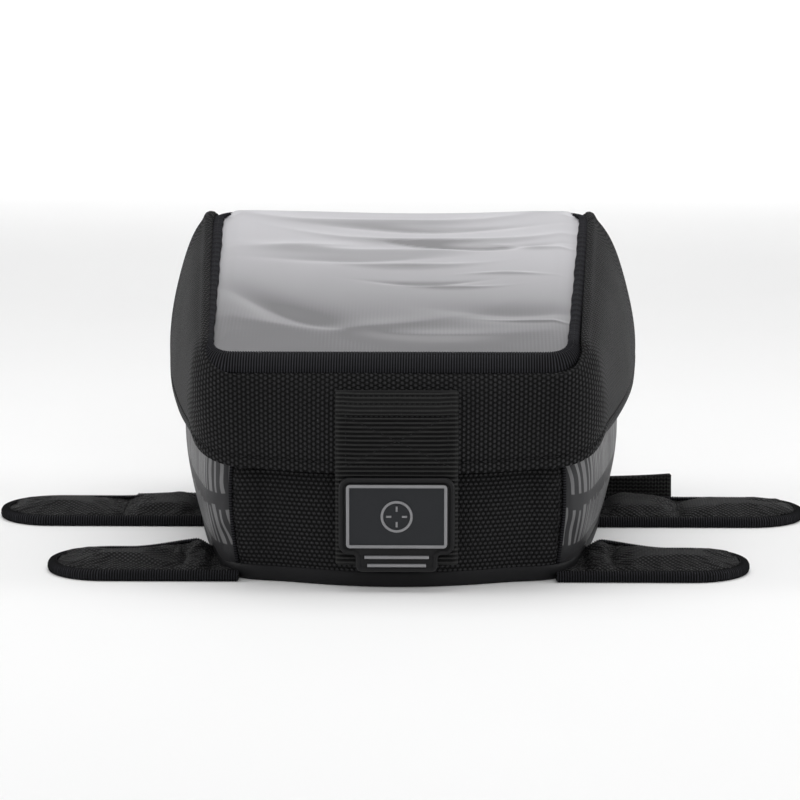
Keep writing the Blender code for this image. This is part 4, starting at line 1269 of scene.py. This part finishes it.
def rounded_box(half_x, half_y, radius, steps=6):
    return np.concatenate(
        [
            arc(half_x - radius, radius - half_y, radius, -90, 90, steps),
            arc(half_x - radius, half_y - radius, radius, 0, 90, steps),
            arc(radius - half_x, half_y - radius, radius, 90, 90, steps),
            arc(radius - half_x, radius - half_y, radius, 180, 90, steps),
        ]
    )


def densify(loop, step):
    closed = np.concatenate([loop, loop[:1]])
    run = np.concatenate([[0], np.cumsum(np.linalg.norm(np.diff(closed, axis=0), axis=1))])
    wanted = np.linspace(0, run[-1], max(24, int(run[-1] / step)), endpoint=False)
    return stack(np.interp(wanted, run, closed[:, 0]), np.interp(wanted, run, closed[:, 1]))


def moved_in(loop, inset):
    along = np.roll(loop, -1, 0) - np.roll(loop, 1, 0)
    inward = unit(stack(-along[:, 1], along[:, 0]))
    return loop + inward * inset


def on_tab(flat, out):
    """A point of the patch's plane: x is to the right, y up from the hinge, and out is towards the rider."""
    x, y = flat[..., 0], flat[..., 1]
    lift = STRAP / 2 + 0.4 * MM + out
    return stack(
        x,
        TAB_HINGE.y - lift * math.cos(TAB_LEAN) + y * math.sin(TAB_LEAN),
        TAB_HINGE.z + y * math.cos(TAB_LEAN) + lift * math.sin(TAB_LEAN),
    )


def plate_faces(rings):
    """The faces round a stack of rings, and the two that close its ends."""
    columns, rows = rings.shape[:2]
    walls = []
    for i in range(columns):
        k = (i + 1) % columns
        walls += [(i * rows + j, k * rows + j, k * rows + j + 1, i * rows + j + 1) for j in range(rows - 1)]
    foot = tuple(i * rows for i in reversed(range(columns)))
    top = tuple(i * rows + rows - 1 for i in range(columns))
    return walls, [foot, top]


def stepped_plate(name, loop, steps, finish):
    """A moulded plate: the loop at one inset and height after another, with both ends filled."""
    rings = np.stack([on_tab(moved_in(loop, inset), out) for inset, out in steps], 1)
    walls, ends = plate_faces(rings)
    mesh = bpy.data.meshes.new(name)
    mesh.from_pydata(rings.reshape(-1, 3).tolist(), [], walls + ends)
    mesh.shade_smooth()
    return keep(name, mesh, [finish])


def raised_line(name, loop, half, height, base, finish, wrap=True):
    """A raised rib of the moulding along a line in the patch's plane."""
    path = on_tab(loop, base)
    out = np.array([0, -math.cos(TAB_LEAN), math.sin(TAB_LEAN)])
    side, up = frames_of(path, out, wrap)
    angles = np.linspace(0, math.pi, 7)
    crown = stack(half * np.cos(angles), height * np.sin(angles) ** 0.5)
    profile = np.concatenate([crown, [(-half, -0.5 * MM), (half, -0.5 * MM)]])
    return sweep(name, path, side, up, profile, [finish], wrap)


def build_patch():
    loop = densify(patch_edge() - (0, PATCH_TOP), 0.5 * MM)
    steps = (
        (0.8 * MM, 0.0), (0.0, 0.35 * MM), (0.0, 1.5 * MM), (0.5 * MM, 2.1 * MM), (1.1 * MM, 2.3 * MM),
        (1.7 * MM, 2.1 * MM), (2.1 * MM, 1.5 * MM), (2.5 * MM, 1.35 * MM),
    )
    obj = stepped_plate("moulded_patch", loop, steps, "rubber")
    finish_piece(obj, "closure_tab", "patch_rubber", "tab_patch")
    centre = np.array([0, -PATCH_TOP - PATCH_HEIGHT / 2])
    field = densify(rounded_box(20.2 * MM, 12.5 * MM, 0.6 * MM), 0.6 * MM) + centre
    steps = ((0.0, 1.1 * MM), (0.0, 1.75 * MM), (0.25 * MM, 1.9 * MM), (0.6 * MM, 1.92 * MM))
    obj = stepped_plate("patch_field", field, steps, "field")
    finish_piece(obj, "closure_tab", "patch_rubber")
    frame_line = densify(rounded_box(20.5 * MM, 12.8 * MM, 0.9 * MM), 0.5 * MM) + centre
    obj = raised_line("patch_frame_line", frame_line, 0.7 * MM, 0.95 * MM, 1.75 * MM, "trim")
    finish_piece(obj, "closure_tab", "patch_trim", "patch_frame")
    angles = np.linspace(0, math.tau, 72, endpoint=False)
    ring = centre + 6.2 * MM * stack(np.cos(angles), np.sin(angles))
    obj = raised_line("patch_ring", ring, 0.55 * MM, 0.7 * MM, 1.9 * MM, "trim")
    finish_piece(obj, "closure_tab", "patch_trim", "patch_emblem")
    for i in range(4):
        way = np.array([math.cos(math.tau * i / 4), math.sin(math.tau * i / 4)])
        tick = centre + way * np.linspace(2.2 * MM, 4.4 * MM, 6)[:, None]
        obj = raised_line(f"patch_tick_{i + 1}", tick, 0.45 * MM, 0.6 * MM, 1.9 * MM, "trim", False)
        finish_piece(obj, "closure_tab", "patch_trim")
    foot = -PATCH_TOP - PATCH_HEIGHT
    for name, below, half in (("upper", 1.1 * MM, 14.2 * MM), ("lower", 4.6 * MM, 13.0 * MM)):
        line = stack(np.linspace(-half + 0.7 * MM, half - 0.7 * MM, 40), np.full(40, foot - below))
        obj = raised_line(f"grip_line_{name}", line, 0.7 * MM, 1.2 * MM, 1.3 * MM, "trim", False)
        finish_piece(obj, "closure_tab", "patch_trim", f"grip_bar_{name}")


def build_hook_patch():
    """The hook patch behind the tab. It is made lying down, because the hooks stand up, and then turned."""
    low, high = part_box("tab_hook_patch")
    plate = densify(rounded_box((high.x - low.x) / 2, (high.z - low.z) / 2, 1.2 * MM), 1.0 * MM)
    middle_z, back = (low.z + high.z) / 2, high.y
    rings = []
    for inset, depth in ((0.5 * MM, 0.9 * MM), (0.0, 0.6 * MM), (0.0, 0.2 * MM), (0.4 * MM, 0.0)):
        loop = moved_in(plate, inset)
        rings.append(stack(loop[:, 0], back - 1.15 * MM + depth, loop[:, 1] + middle_z))
    rings = np.stack(rings, 1)
    walls, ends = plate_faces(rings)
    mesh = bpy.data.meshes.new("hook_patch")
    mesh.from_pydata([(x, -z, y) for x, y, z in rings.reshape(-1, 3)], [], ends + walls)
    obj = keep("hook_patch", mesh, ["hook"])
    through(obj, "hook_rows", "hook", Columns=31, Rows=20)
    spot = places(obj.data)
    first_hook = len(rings.reshape(-1, 3))
    spot = np.stack([spot[:, 0], spot[:, 2], -spot[:, 1]], -1)
    spot[first_hook:, 1] += back - 0.2 * MM
    spot[first_hook:, 2] += middle_z
    obj.data.vertices.foreach_set("co", spot.ravel())
    obj.data.update()
    finish_piece(obj, "closure_tab", "hook_and_loop", "tab_hook_patch")


def build_loop_patch():
    """The loop patch on the front panel, which the hooks press on."""
    u, v = grid(0, 1, 60, 44)
    share = 0.5 + between(-23 * MM, 23 * MM, u) / (100 * MM)
    front_rim = rim_z(-93 * MM)
    face = tub_wall(share, (between(12 * MM, 46 * MM, v) - WALL_FOOT) / (front_rim - WALL_FOOT), -1.5 * MM)
    fluff = 0.12 * MM * np.sin(u * 190.0) * np.sin(v * 150.0 + 3 * np.sin(u * 40.0))
    obj = lay_cloth("loop_patch", face, 1.1 * MM, ["loop"], relief=fluff)
    finish_piece(obj, "tub", "hook_and_loop", "front_loop_patch")


# ---------------------------------------------------------------- tub
def level_normal(t):
    """The tub's outward direction at t, level."""
    out = TUB.normal(t)
    return stack(out[..., 0], out[..., 1], 0 * out[..., 0])


def build_walls(sewing):
    walls = (
        ("front", -0.5, 1.5, "ballistic", "ballistic_nylon", 150),
        ("side_right", 1.5, 3.5, "side", "coated_side", 110),
        ("rear", 3.5, 5.5, "ballistic", "ballistic_nylon", 120),
        ("side_left", 5.5, 7.5, "side", "coated_side", 110),
    )
    seams = []
    for name, first, last, finish, slot, columns in walls:
        t, h = grid(first + 0.012, last - 0.012, columns, 40)
        face = tub_wall(t, h)
        run = lengths(face, 0)
        edge = np.minimum(run, run[-1:] - run)
        relief = ripple(t, h, 0.45 * MM, first)
        relief -= 1.1 * MM * bell(edge, 1.8 * MM)
        relief -= 0.5 * MM * bell(lengths(face, 1), 2.5 * MM)
        relief += 0.35 * MM * np.sin(h * 31.0 + 2 * np.sin(3 * t)) * bell(edge - 4 * MM, 3.5 * MM)
        obj = lay_cloth(f"{name}_wall", face, FOAM_DEPTH - 0.4 * MM, [finish, "foam"], relief=relief)
        finish_piece(obj, "tub", slot, f"{name}_panel", f"{name}_foam")
        heights = np.linspace(0.03, 0.97, 70)
        path, out = tub_wall(np.full(70, last), heights), tub_wall(np.full(70, last), heights, -1 * MM)
        out = unit(out - path)
        hand = name.replace("side_", "")
        piece = piping_along(f"tub_seam_{hand}", path - out * 0.75 * MM, out, 0.8 * MM, "tape")
        finish_piece(piece, "tub", "binding_tape")
        for shift in (-0.07, 0.07):
            if finish == "ballistic":
                spot = (first if shift > 0 else last) + shift
                seam = tub_wall(np.full(70, spot), heights)
                seams.append((seam - out * 0.1 * MM, level_normal(np.full(70, spot))))
    sew("tub_seam_stitches", seams, "tub", sewing)


def build_base():
    """The base is a moulded sheet that wraps up a little round the foot of the walls."""
    t = np.linspace(0, 8, 400, endpoint=False)
    at, out = TUB.point(t), TUB.normal(t)
    middle = np.array([0.0, 9 * MM])
    rings = []
    for inset, z in (
        (70, 0.5), (40, 0.45), (8, 0.4), (3.0, 0.15), (1.4, 0.0), (0.5, 0.35), (0.0, 1.1), (-0.35, 2.4),
        (-0.55, 4.2), (-0.55, 5.6), (-0.3, 6.5), (0.2, 6.9), (0.7, 6.6), (1.0, 5.4), (1.4, 4.2), (8, 4.0),
        (40, 4.0), (70, 4.0),
    ):
        if inset > 10:
            share = 1 - inset / 85
            ring = middle + (at - out * 8 * MM - middle) * share
        else:
            ring = at - out * inset * MM
        rings.append(stack(ring[:, 0], ring[:, 1], z * MM))
    rings = np.stack(rings[::-1], 1)
    pole = np.broadcast_to(np.array([0.0, 9 * MM, 0.0]), rings[:, :1].shape)
    rings = np.concatenate([pole + (0, 0, 4.0 * MM), rings, pole + (0, 0, 0.5 * MM)], 1)
    flat = stack(rings[..., 0], rings[..., 1])
    obj = skin("base_wrap", rings[:, ::-1], np.concatenate([flat, flat[:1]], 0)[:, ::-1], ["base"], True)
    finish_piece(obj, "tub", "base_rubber", "base_panel")


def build_liner():
    """One sewn bag: its floor runs out from the middle, and its wall up from there."""
    rows, floor_rows = 46, 12
    u, v = grid(0, 1, 220, rows)
    t = 8 * u + 4.5
    foot_height = 2.6 * MM / (RIM_FRONT - WALL_FOOT)
    inner = tub_wall(t, np.full_like(t, foot_height), LINER_INSET)
    middle = np.array([0.0, 9.2 * MM, 7 * MM])
    row = np.arange(rows)
    share = row / floor_rows
    floor = middle + (inner * (1, 1, 0) + (0, 0, 7 * MM) - middle) * np.minimum(share, 1)[None, :, None]
    height = between(foot_height, 0.985, np.clip((row - floor_rows) / (rows - 1 - floor_rows), 0, 1))
    wall = tub_wall(t, np.broadcast_to(height[None], t.shape), LINER_INSET)
    face = np.where((row <= floor_rows)[None, :, None], floor, wall)[:-1]
    creases = 0.25 * MM * np.sin(22 * t[:-1] + 3 * np.sin(9 * v[:-1])) * np.sin(math.pi * v[:-1])
    obj = lay_cloth("tub_liner", face, 0.7 * MM, ["lining"], True, relief=np.minimum(creases, 0.0))
    finish_piece(obj, "tub", "grey_lining", "liner")


def build_rim(sewing):
    t = np.linspace(0, 8, 1700, endpoint=False) + 4.5
    width = 6.4
    profile = [
        (0.3, -3.2), (0.45, -1.2), (0.2, 0.9), (-1.2, 1.9), (-width / 2, 2.1), (-width + 1.0, 1.9),
        (-width - 0.05, 0.9), (-width - 0.2, -1.2), (-width, -3.0), (-width + 0.5, -1.0), (-width + 0.9, 0.3),
        (-0.8, 0.3), (-0.3, -1.0),
    ]
    weight = np.array([1] * 9 + [0] * 4)
    path = tub_wall(t, np.ones(len(t))) + (0, 0, 0.4 * MM)
    up = np.broadcast_to((0, 0, 1.0), path.shape)
    profile = np.array(profile) * MM
    obj = sweep("tub_rim_tape", path, level_normal(t), up, profile, ["tape"], True, ribbed=(0, weight))
    through(obj, "woven_ribs", "tape", Rib_Pitch=1.4 * MM, Rib_Height=0.12 * MM)
    finish_piece(obj, "tub", "binding_tape", "rim_binding")
    ring = np.linspace(0, 8, 500)
    path = tub_wall(ring, np.ones(500), -0.42 * MM) + (0, 0, -1.5 * MM)
    sew("tub_rim_stitches", [(path, (0, 0, 1))], "tub", sewing)


def build_hinge_cloth():
    low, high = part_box("hinge_strip_tub")[0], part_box("hinge_strip_lid")[1]
    x, z = grid(low.x, high.x, 120, 90, low.z, high.z)
    y = np.full_like(x, high.y) - 0.2 * MM
    relief = 0.12 * MM * np.sin(x / MM * 1.1)
    face = stack(x, y, z)[::-1]
    ribbed = (1, np.ones_like(x))
    obj = lay_cloth("lid_hinge_cloth", face, 0.9 * MM, ["webbing"], relief=relief, ribbed=ribbed)
    through(obj, "woven_ribs", "webbing", Rib_Pitch=1.9 * MM, Rib_Height=0.12 * MM)
    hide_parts("hinge_strip_tub", "hinge_strip_lid")
    across_hinge(obj, LID_HINGE, -4 * MM)


def build_anchors():
    """The right tab stands on its edge, and the left one lies flat."""
    for hand in ("right", "left"):
        low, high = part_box(f"anchor_tab_{hand}")
        way = 1 if hand == "right" else -1
        near, far = (low.x, high.x) if way > 0 else (high.x, low.x)
        x, v = grid(near - way * 4 * MM, far, 120, 26)
        share = np.abs(x - near) / abs(far - near)
        if way > 0:
            rise = 1.5 * MM * share
            middle_y = (low.y + high.y) / 2
            frayed = 0.25 * MM * np.sin(x / MM * 2.6) * (1 - v) ** 4
            z = between(low.z + 0.3 * MM, low.z + 11.5 * MM, v) + rise * v + frayed
            face = stack(x, middle_y - 1.0 * MM + 0.5 * MM * np.sin(3 * v + 4 * share), z)
        else:
            y = between(low.y + 0.4 * MM, high.y - 0.4 * MM, v)
            face = stack(x, y, 2.4 * MM + 0.3 * MM * np.sin(5 * share))[::-1]
        ribbed = (0, np.ones(face.shape[:2]))
        obj = lay_cloth(f"anchor_webbing_{hand}", face, 2.0 * MM, ["webbing"], ribbed=ribbed)
        through(obj, "woven_ribs", "webbing", Rib_Pitch=1.5 * MM, Rib_Height=0.16 * MM)
        finish_piece(obj, "tub", "webbing", f"anchor_tab_{hand}")


# ---------------------------------------------------------------- flaps
class Flap:
    """One magnet flap: its hinge, length and slant, and places on it in its own plane."""

    def __init__(self, name):
        joint = JOINTS[f"{name}_hinge"]
        self.name = name
        self.hinge = np.array(joint["pos_m"])
        self.side = 1 if self.hinge[0] > 0 else -1
        low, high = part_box(f"{name}_binding")
        tip = high.x if self.side > 0 else -low.x
        self.length = tip - abs(self.hinge[0])
        self.divider = self.length - FLAP_DIVIDER
        self.slant = 24 * MM / TUB_DEPTH
        self.front = self.hinge[1] < 0

    def lift(self, x, y):
        """How far the lying flap rises off the tank: its far edge curls up beside the bag."""
        curl = smooth((y + 2 * MM) / FLAP_HALF) * smooth(1 - x / (38 * MM))
        return (4.2 if self.front else 2.0) * MM * curl * smooth(x / (9 * MM))

    def place(self, x, y, z):
        return stack(self.hinge[0] + self.side * x, self.hinge[1] + y, z + self.lift(x, y))

    def bend(self, obj, slot, *replaced):
        """Hides the CAD nodes named last and bakes the piece's transform into its mesh. The ends of a bend
        beside the tub's foot are worked out but not used.
        """
        if replaced:
            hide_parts(*replaced)
        start, end = (self.hinge + (self.side * x, 0, 0) for x in (-1.5 * MM, 4.5 * MM))
        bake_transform(obj)
        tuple(start)
        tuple(end)

    def foot(self, y):
        """Where the flap's root lies at y: along the tub's side, and in under its rounded corner."""
        rim = TUB.point(np.linspace(0, 8, 801))
        rim = rim[rim[:, 0] * self.side > 0]
        rim = rim[np.argsort(rim[:, 1])]
        beside = np.interp(y + self.hinge[1], rim[:, 1], np.abs(rim[:, 0])) - abs(self.hinge[0])
        return FLAP_FOOT + np.maximum(np.minimum(self.slant * y, beside), -11 * MM)

    def half_width(self, x, inset):
        half, tip = FLAP_HALF - inset, FLAP_TIP - inset
        into = np.clip((x - (self.length - FLAP_TIP)) / tip, 0.0, 1.0)
        return half * np.sqrt(1 - into * into)

    def edge(self, inset, step):
        """The flap's outline from one root corner round the tip to the other, as (x, y)."""
        half, tip = FLAP_HALF - inset, FLAP_TIP - inset
        angles = np.linspace(-math.pi / 2, math.pi / 2, 40)
        points = np.concatenate(
            [
                [(self.foot(-half), -half)],
                stack(self.length - FLAP_TIP + tip * np.cos(angles), half * np.sin(angles)),
                [(self.foot(half), half)],
            ]
        )
        run = np.concatenate([[0], np.cumsum(np.linalg.norm(np.diff(points, axis=0), axis=1))])
        wanted = np.linspace(0, run[-1], int(run[-1] / step))
        return stack(np.interp(wanted, run, points[:, 0]), np.interp(wanted, run, points[:, 1]))


def pillow(x, y, low, high, half):
    along = np.abs(x - (low + high) / 2) / ((high - low) / 2)
    across = np.abs(y) / half
    return np.maximum(0, 1 - along**4) * np.maximum(0, 1 - across**4)


def build_pad(flap, cloth):
    """The flap's cover, puffed over its two magnets and held at its edge and at the seam between them."""
    inset = 3.2 * MM
    columns, rows = 70, 44
    u, v = grid(0, 1, columns, rows)
    end = flap.length - inset - 0.4 * MM
    x = between(FLAP_FOOT, end, u)
    y = between(-1, 1, v) * np.maximum(flap.half_width(x, inset), 3 * MM)
    sheared = x + (flap.foot(y) - FLAP_FOOT) * (1 - u) ** 2
    outer = pillow(x, y, flap.divider + 1.5 * MM, end, FLAP_HALF - inset)
    inner = pillow(sheared, y, FLAP_FOOT + 2 * MM, flap.divider - 1.5 * MM, FLAP_HALF - inset)
    seed = flap.hinge[0] * 40 + flap.hinge[1] * 90
    puckers = 0.35 * MM * np.sin(np.arctan2(y, x - (flap.length - FLAP_TIP)) * 16 + seed)
    puckers = puckers * smooth((x - flap.length + 30 * MM) / (18 * MM))
    near_edge = bell(np.abs(y) / flap.half_width(x, inset) - 0.75, 0.2)
    z = 3.2 * MM + 3.4 * MM * np.maximum(outer, inner) + puckers * near_edge
    face = flap.place(sheared, y, z)
    sewn = np.zeros((columns, rows), bool)
    sewn[[0, -1]] = True
    sewn[:, [0, -1]] = True
    sewn[np.argmin(np.abs(x[:, 0] - flap.divider))] = True
    face = puffed_grid(face, sewn, cloth.pad_pressure, 0.035, 1.6 * MM)
    obj = lay_cloth(f"{flap.name}_pad", face[:: flap.side], 1.0 * MM, ["flap"])
    flap.bend(obj, "flap_nylon", f"{flap.name}_cover")


def bind_flap(flap, sewing):
    """The tape round the flap, folded over its edge."""
    edge = flap.edge(0.0, 0.17 * MM)
    along = np.gradient(edge, axis=0)
    inward = unit(stack(-along[:, 1], along[:, 0]))
    base = flap.place(edge[:, 0], edge[:, 1], 0.0)
    side = stack(inward[:, 0] * flap.side, inward[:, 1], 0 * inward[:, 0])
    profile = MM * np.array(
        [
            (4.4, 0.1), (1.2, 0.0), (0.3, 0.5), (0.0, 1.6), (0.1, 3.0), (0.7, 4.1), (1.8, 4.6), (3.2, 4.5),
            (4.4, 4.0), (3.6, 3.5), (1.8, 3.4), (1.8, 0.9), (4.2, 0.9),
        ]
    )
    weight = np.array([0.3, 1, 1, 1, 1, 1, 1, 1, 0.6, 0, 0, 0, 0])
    profile, weight = profile[:: -flap.side], weight[:: -flap.side]
    up = np.broadcast_to((0.0, 0.0, 1.0), base.shape)
    obj = sweep(f"{flap.name}_edge_tape", base, side, up, profile, ["tape"], ribbed=(0, weight))
    through(obj, "woven_ribs", "tape", Rib_Pitch=sewing.tape_rib, Rib_Height=TAPE_RIB_HEIGHT)
    flap.bend(obj, "binding_tape", f"{flap.name}_binding")


def back_flap(flap):
    """The soft underside that lies on the tank."""
    u, v = grid(0, 1, 60, 24)
    x = between(FLAP_ROOT, flap.length - 5 * MM, u)
    y = between(-1, 1, v) * np.maximum(flap.half_width(x, 4.6 * MM), 3 * MM)
    under = flap.place(x + flap.slant * y * (1 - u), y, 1.1 * MM)
    obj = lay_cloth(f"{flap.name}_backing", under[:: flap.side], 0.9 * MM, ["backing"])
    finish_piece(obj, flap.name, "soft_backing", f"{flap.name}_underside")


def sew_flap(flap, sewing):
    seam_y = np.linspace(-19 * MM, 19 * MM, 40)
    seams = [(flap.place(np.full(40, flap.divider), seam_y, 3.5 * MM), (0, 0, 1))]
    inner_edge = flap.edge(3.7 * MM, MM)
    inner_edge = inner_edge[inner_edge[:, 0] > 14 * MM]
    seams.append((flap.place(inner_edge[:, 0], inner_edge[:, 1], 4.55 * MM), (0, 0, 1)))
    sew(f"{flap.name}_stitches", seams, flap.name, sewing, 0.85)


def web_flap(flap):
    """The cloth that joins the flap's root to the tub's foot."""
    u, v = grid(0, 1, 30, 60)
    y = between(-FLAP_HALF + 1.5 * MM, FLAP_HALF - 1.5 * MM, v)
    x = between(flap.foot(y), 5.0 * MM + flap.slant * y, u)
    web = flap.place(x, y, 1.2 * MM + 0 * u)
    obj = lay_cloth(f"{flap.name}_web", web[:: flap.side], 0.9 * MM, ["backing"])
    flap.bend(obj, "soft_backing")


# ---------------------------------------------------------------- hidden CAD nodes, and the stage
def dress_hidden():
    """The board and the magnets stay the CAD model's own nodes, inside the cloth."""
    for name, node in frame["nodes"].items():
        finish = "stiffener" if name == "base_board" else "magnet" if "magnet" in name else None
        if finish and node.data.materials:
            for place in range(len(node.data.materials)):
                node.data.materials[place] = FINISHES[finish]


def area_light(name, at, aim, size, power, spread=180):
    light = bpy.data.lights.new(name, "AREA")
    light.shape = "RECTANGLE"
    light.size, light.size_y = size
    light.energy, light.spread = power, math.radians(spread)
    obj = bpy.data.objects.new(name, light)
    obj.location = at
    obj.rotation_euler = (Vector(aim) - Vector(at)).to_track_quat("-Z", "Y").to_euler()
    bpy.context.scene.collection.objects.link(obj)


def build_backdrop():
    """Pale paper that lies under the bag, curves up well behind it and stands."""
    quarter = np.linspace(0, math.pi / 2, 60)
    rise = stack(3.4 + 1.2 * np.sin(quarter), 1.2 - 1.2 * np.cos(quarter))
    bend = np.concatenate([[(-5.0, 0.0)], rise, [(4.6, 6.0)]])
    x = np.linspace(-7, 7, 3)
    points = stack(x[:, None], bend[None, :, 0], bend[None, :, 1] - 0.05 * MM)
    flat = stack(x[:, None] + 0 * bend[None, :, 0], bend[None, :, 0] + bend[None, :, 1])
    floor = Finish("studio_paper", Specular_IOR_Level=0.2)
    mottle = floor.noise(3.0, 3.0)
    pale = floor.mix(mottle, (0.86, 0.86, 0.86), (0.90, 0.90, 0.90))
    FINISHES["paper"] = floor.show(pale, 0.9 + mottle * 0.05)
    obj = skin("studio_floor", points, flat, ["paper"])
    obj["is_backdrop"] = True


def build_lights():
    world = bpy.data.worlds.new("studio")
    world.use_nodes = True
    background = world.node_tree.nodes["Background"]
    background.inputs["Color"].default_value = (1.0, 1.0, 1.0, 1.0)
    background.inputs["Strength"].default_value = 0.45
    bpy.context.scene.world = world
    area_light("top_box", (0.0, 0.15, 1.5), (0, 0.02, 0.05), (1.6, 1.2), 13)
    area_light("front_box", (0.3, -1.6, 1.1), (0, 0, 0.08), (0.9, 0.5), 3.5)
    area_light("paper_box", (0.0, 2.7, 2.6), (0, 2.75, 0), (6.0, 2.0), 60, 60)
    area_light("left_strip", (-1.3, -0.1, 0.5), (0, 0, 0.08), (0.3, 1.0), 6)
    area_light("right_strip", (1.3, -0.1, 0.5), (0, 0, 0.08), (0.3, 1.0), 6)


def build_camera():
    """A long lens at the rider's side, a little above the bag and looking 10 degrees down."""
    camera = bpy.data.cameras.new("camera")
    camera.sensor_width = 36.0
    camera.lens = 134.55
    camera.clip_start, camera.clip_end = 0.05, 20.0
    obj = bpy.data.objects.new("camera", camera)
    aside, distance, height = math.radians(0.8), 1.3235, 0.2975
    obj.location = (math.sin(aside) * distance, -math.cos(aside) * distance, height)
    obj.rotation_euler = (math.radians(80.0), 0.0, aside)
    bpy.context.scene.collection.objects.link(obj)
    bpy.context.scene.camera = obj
    bpy.context.scene.view_settings.view_transform = "Standard"


# ---------------------------------------------------------------- operators, panel and main
class BAG_OT_finishes(bpy.types.Operator):
    """Make every material and node tree of the bag"""

    bl_idname = "bag.finishes"
    bl_label = "Finishes"

    def execute(self, context):
        make_finishes(context.scene.bag_cloth, context.scene.bag_sewing)
        TREES.update(stitch_row=stitch_tree(), woven_ribs=rib_tree(), hook_rows=hook_tree())
        return {"FINISHED"}


class BAG_OT_stage(bpy.types.Operator):
    """Set out the floor, the lights and the camera"""

    bl_idname = "bag.stage"
    bl_label = "Stage"

    def execute(self, context):
        build_backdrop()
        build_lights()
        build_camera()
        return {"FINISHED"}


class BAG_OT_tub(bpy.types.Operator):
    """Sew the padded tub with its base, liner, rim, hinge cloth and anchor tabs"""

    bl_idname = "bag.tub"
    bl_label = "Tub"

    def execute(self, context):
        sewing = context.scene.bag_sewing
        build_walls(sewing)
        build_base()
        build_liner()
        build_rim(sewing)
        build_hinge_cloth()
        build_anchors()
        return {"FINISHED"}


class BAG_OT_lid(bpy.types.Operator):
    """Sew the lid's skirt, back and lining"""

    bl_idname = "bag.lid"
    bl_label = "Lid"

    def execute(self, context):
        build_lid_shell()
        sew_lid(context.scene.bag_sewing)
        return {"FINISHED"}


class BAG_OT_window(bpy.types.Operator):
    """Set the film in its tape, over the phone pouch"""

    bl_idname = "bag.window"
    bl_label = "Window"

    def execute(self, context):
        build_film(context.scene.bag_cloth)
        build_window_tape(context.scene.bag_sewing)
        build_pouch()
        return {"FINISHED"}


class BAG_OT_closure(bpy.types.Operator):
    """Make the closure webbing, its moulded patch and the hook and loop fasteners"""

    bl_idname = "bag.closure"
    bl_label = "Closure"

    def execute(self, context):
        build_strap(context.scene.bag_sewing)
        build_patch()
        build_hook_patch()
        build_loop_patch()
        return {"FINISHED"}


class BAG_OT_flaps(bpy.types.Operator):
    """Puff up and bind the four magnet flaps"""

    bl_idname = "bag.flaps"
    bl_label = "Flaps"

    def execute(self, context):
        for name in ("flap_front_left", "flap_front_right", "flap_rear_left", "flap_rear_right"):
            flap = Flap(name)
            build_pad(flap, context.scene.bag_cloth)
            bind_flap(flap, context.scene.bag_sewing)
            back_flap(flap)
            sew_flap(flap, context.scene.bag_sewing)
            web_flap(flap)
        dress_hidden()
        return {"FINISHED"}


class BAG_PT_panel(bpy.types.Panel):
    """The bag's steps and settings"""

    bl_label = "Tank bag"
    bl_idname = "BAG_PT_panel"
    bl_space_type = "VIEW_3D"
    bl_region_type = "UI"
    bl_category = "Tank bag"

    def draw(self, context):
        for step in STEPS:
            self.layout.operator(step.bl_idname)
        for group in (context.scene.bag_cloth, context.scene.bag_sewing):
            for key in type(group).__annotations__:
                self.layout.prop(group, key)


STEPS = (BAG_OT_finishes, BAG_OT_stage, BAG_OT_tub, BAG_OT_lid, BAG_OT_window, BAG_OT_closure, BAG_OT_flaps)


def register():
    for made in (BagCloth, BagSewing, *STEPS, BAG_PT_panel):
        bpy.utils.register_class(made)
    bpy.types.Scene.bag_cloth = bpy.props.PointerProperty(type=BagCloth)
    bpy.types.Scene.bag_sewing = bpy.props.PointerProperty(type=BagSewing)


def unregister():
    del bpy.types.Scene.bag_cloth, bpy.types.Scene.bag_sewing
    for made in reversed((BagCloth, BagSewing, *STEPS, BAG_PT_panel)):
        bpy.utils.unregister_class(made)


def main():
    register()
    for step in STEPS:
        group, action = step.bl_idname.split(".")
        getattr(getattr(bpy.ops, group), action)()
    boxes = {"cad": CAD_BOX, "visual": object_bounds()}
    {key: [list(corner) for corner in box] for key, box in boxes.items()}


if __name__ == "__main__":
    main()
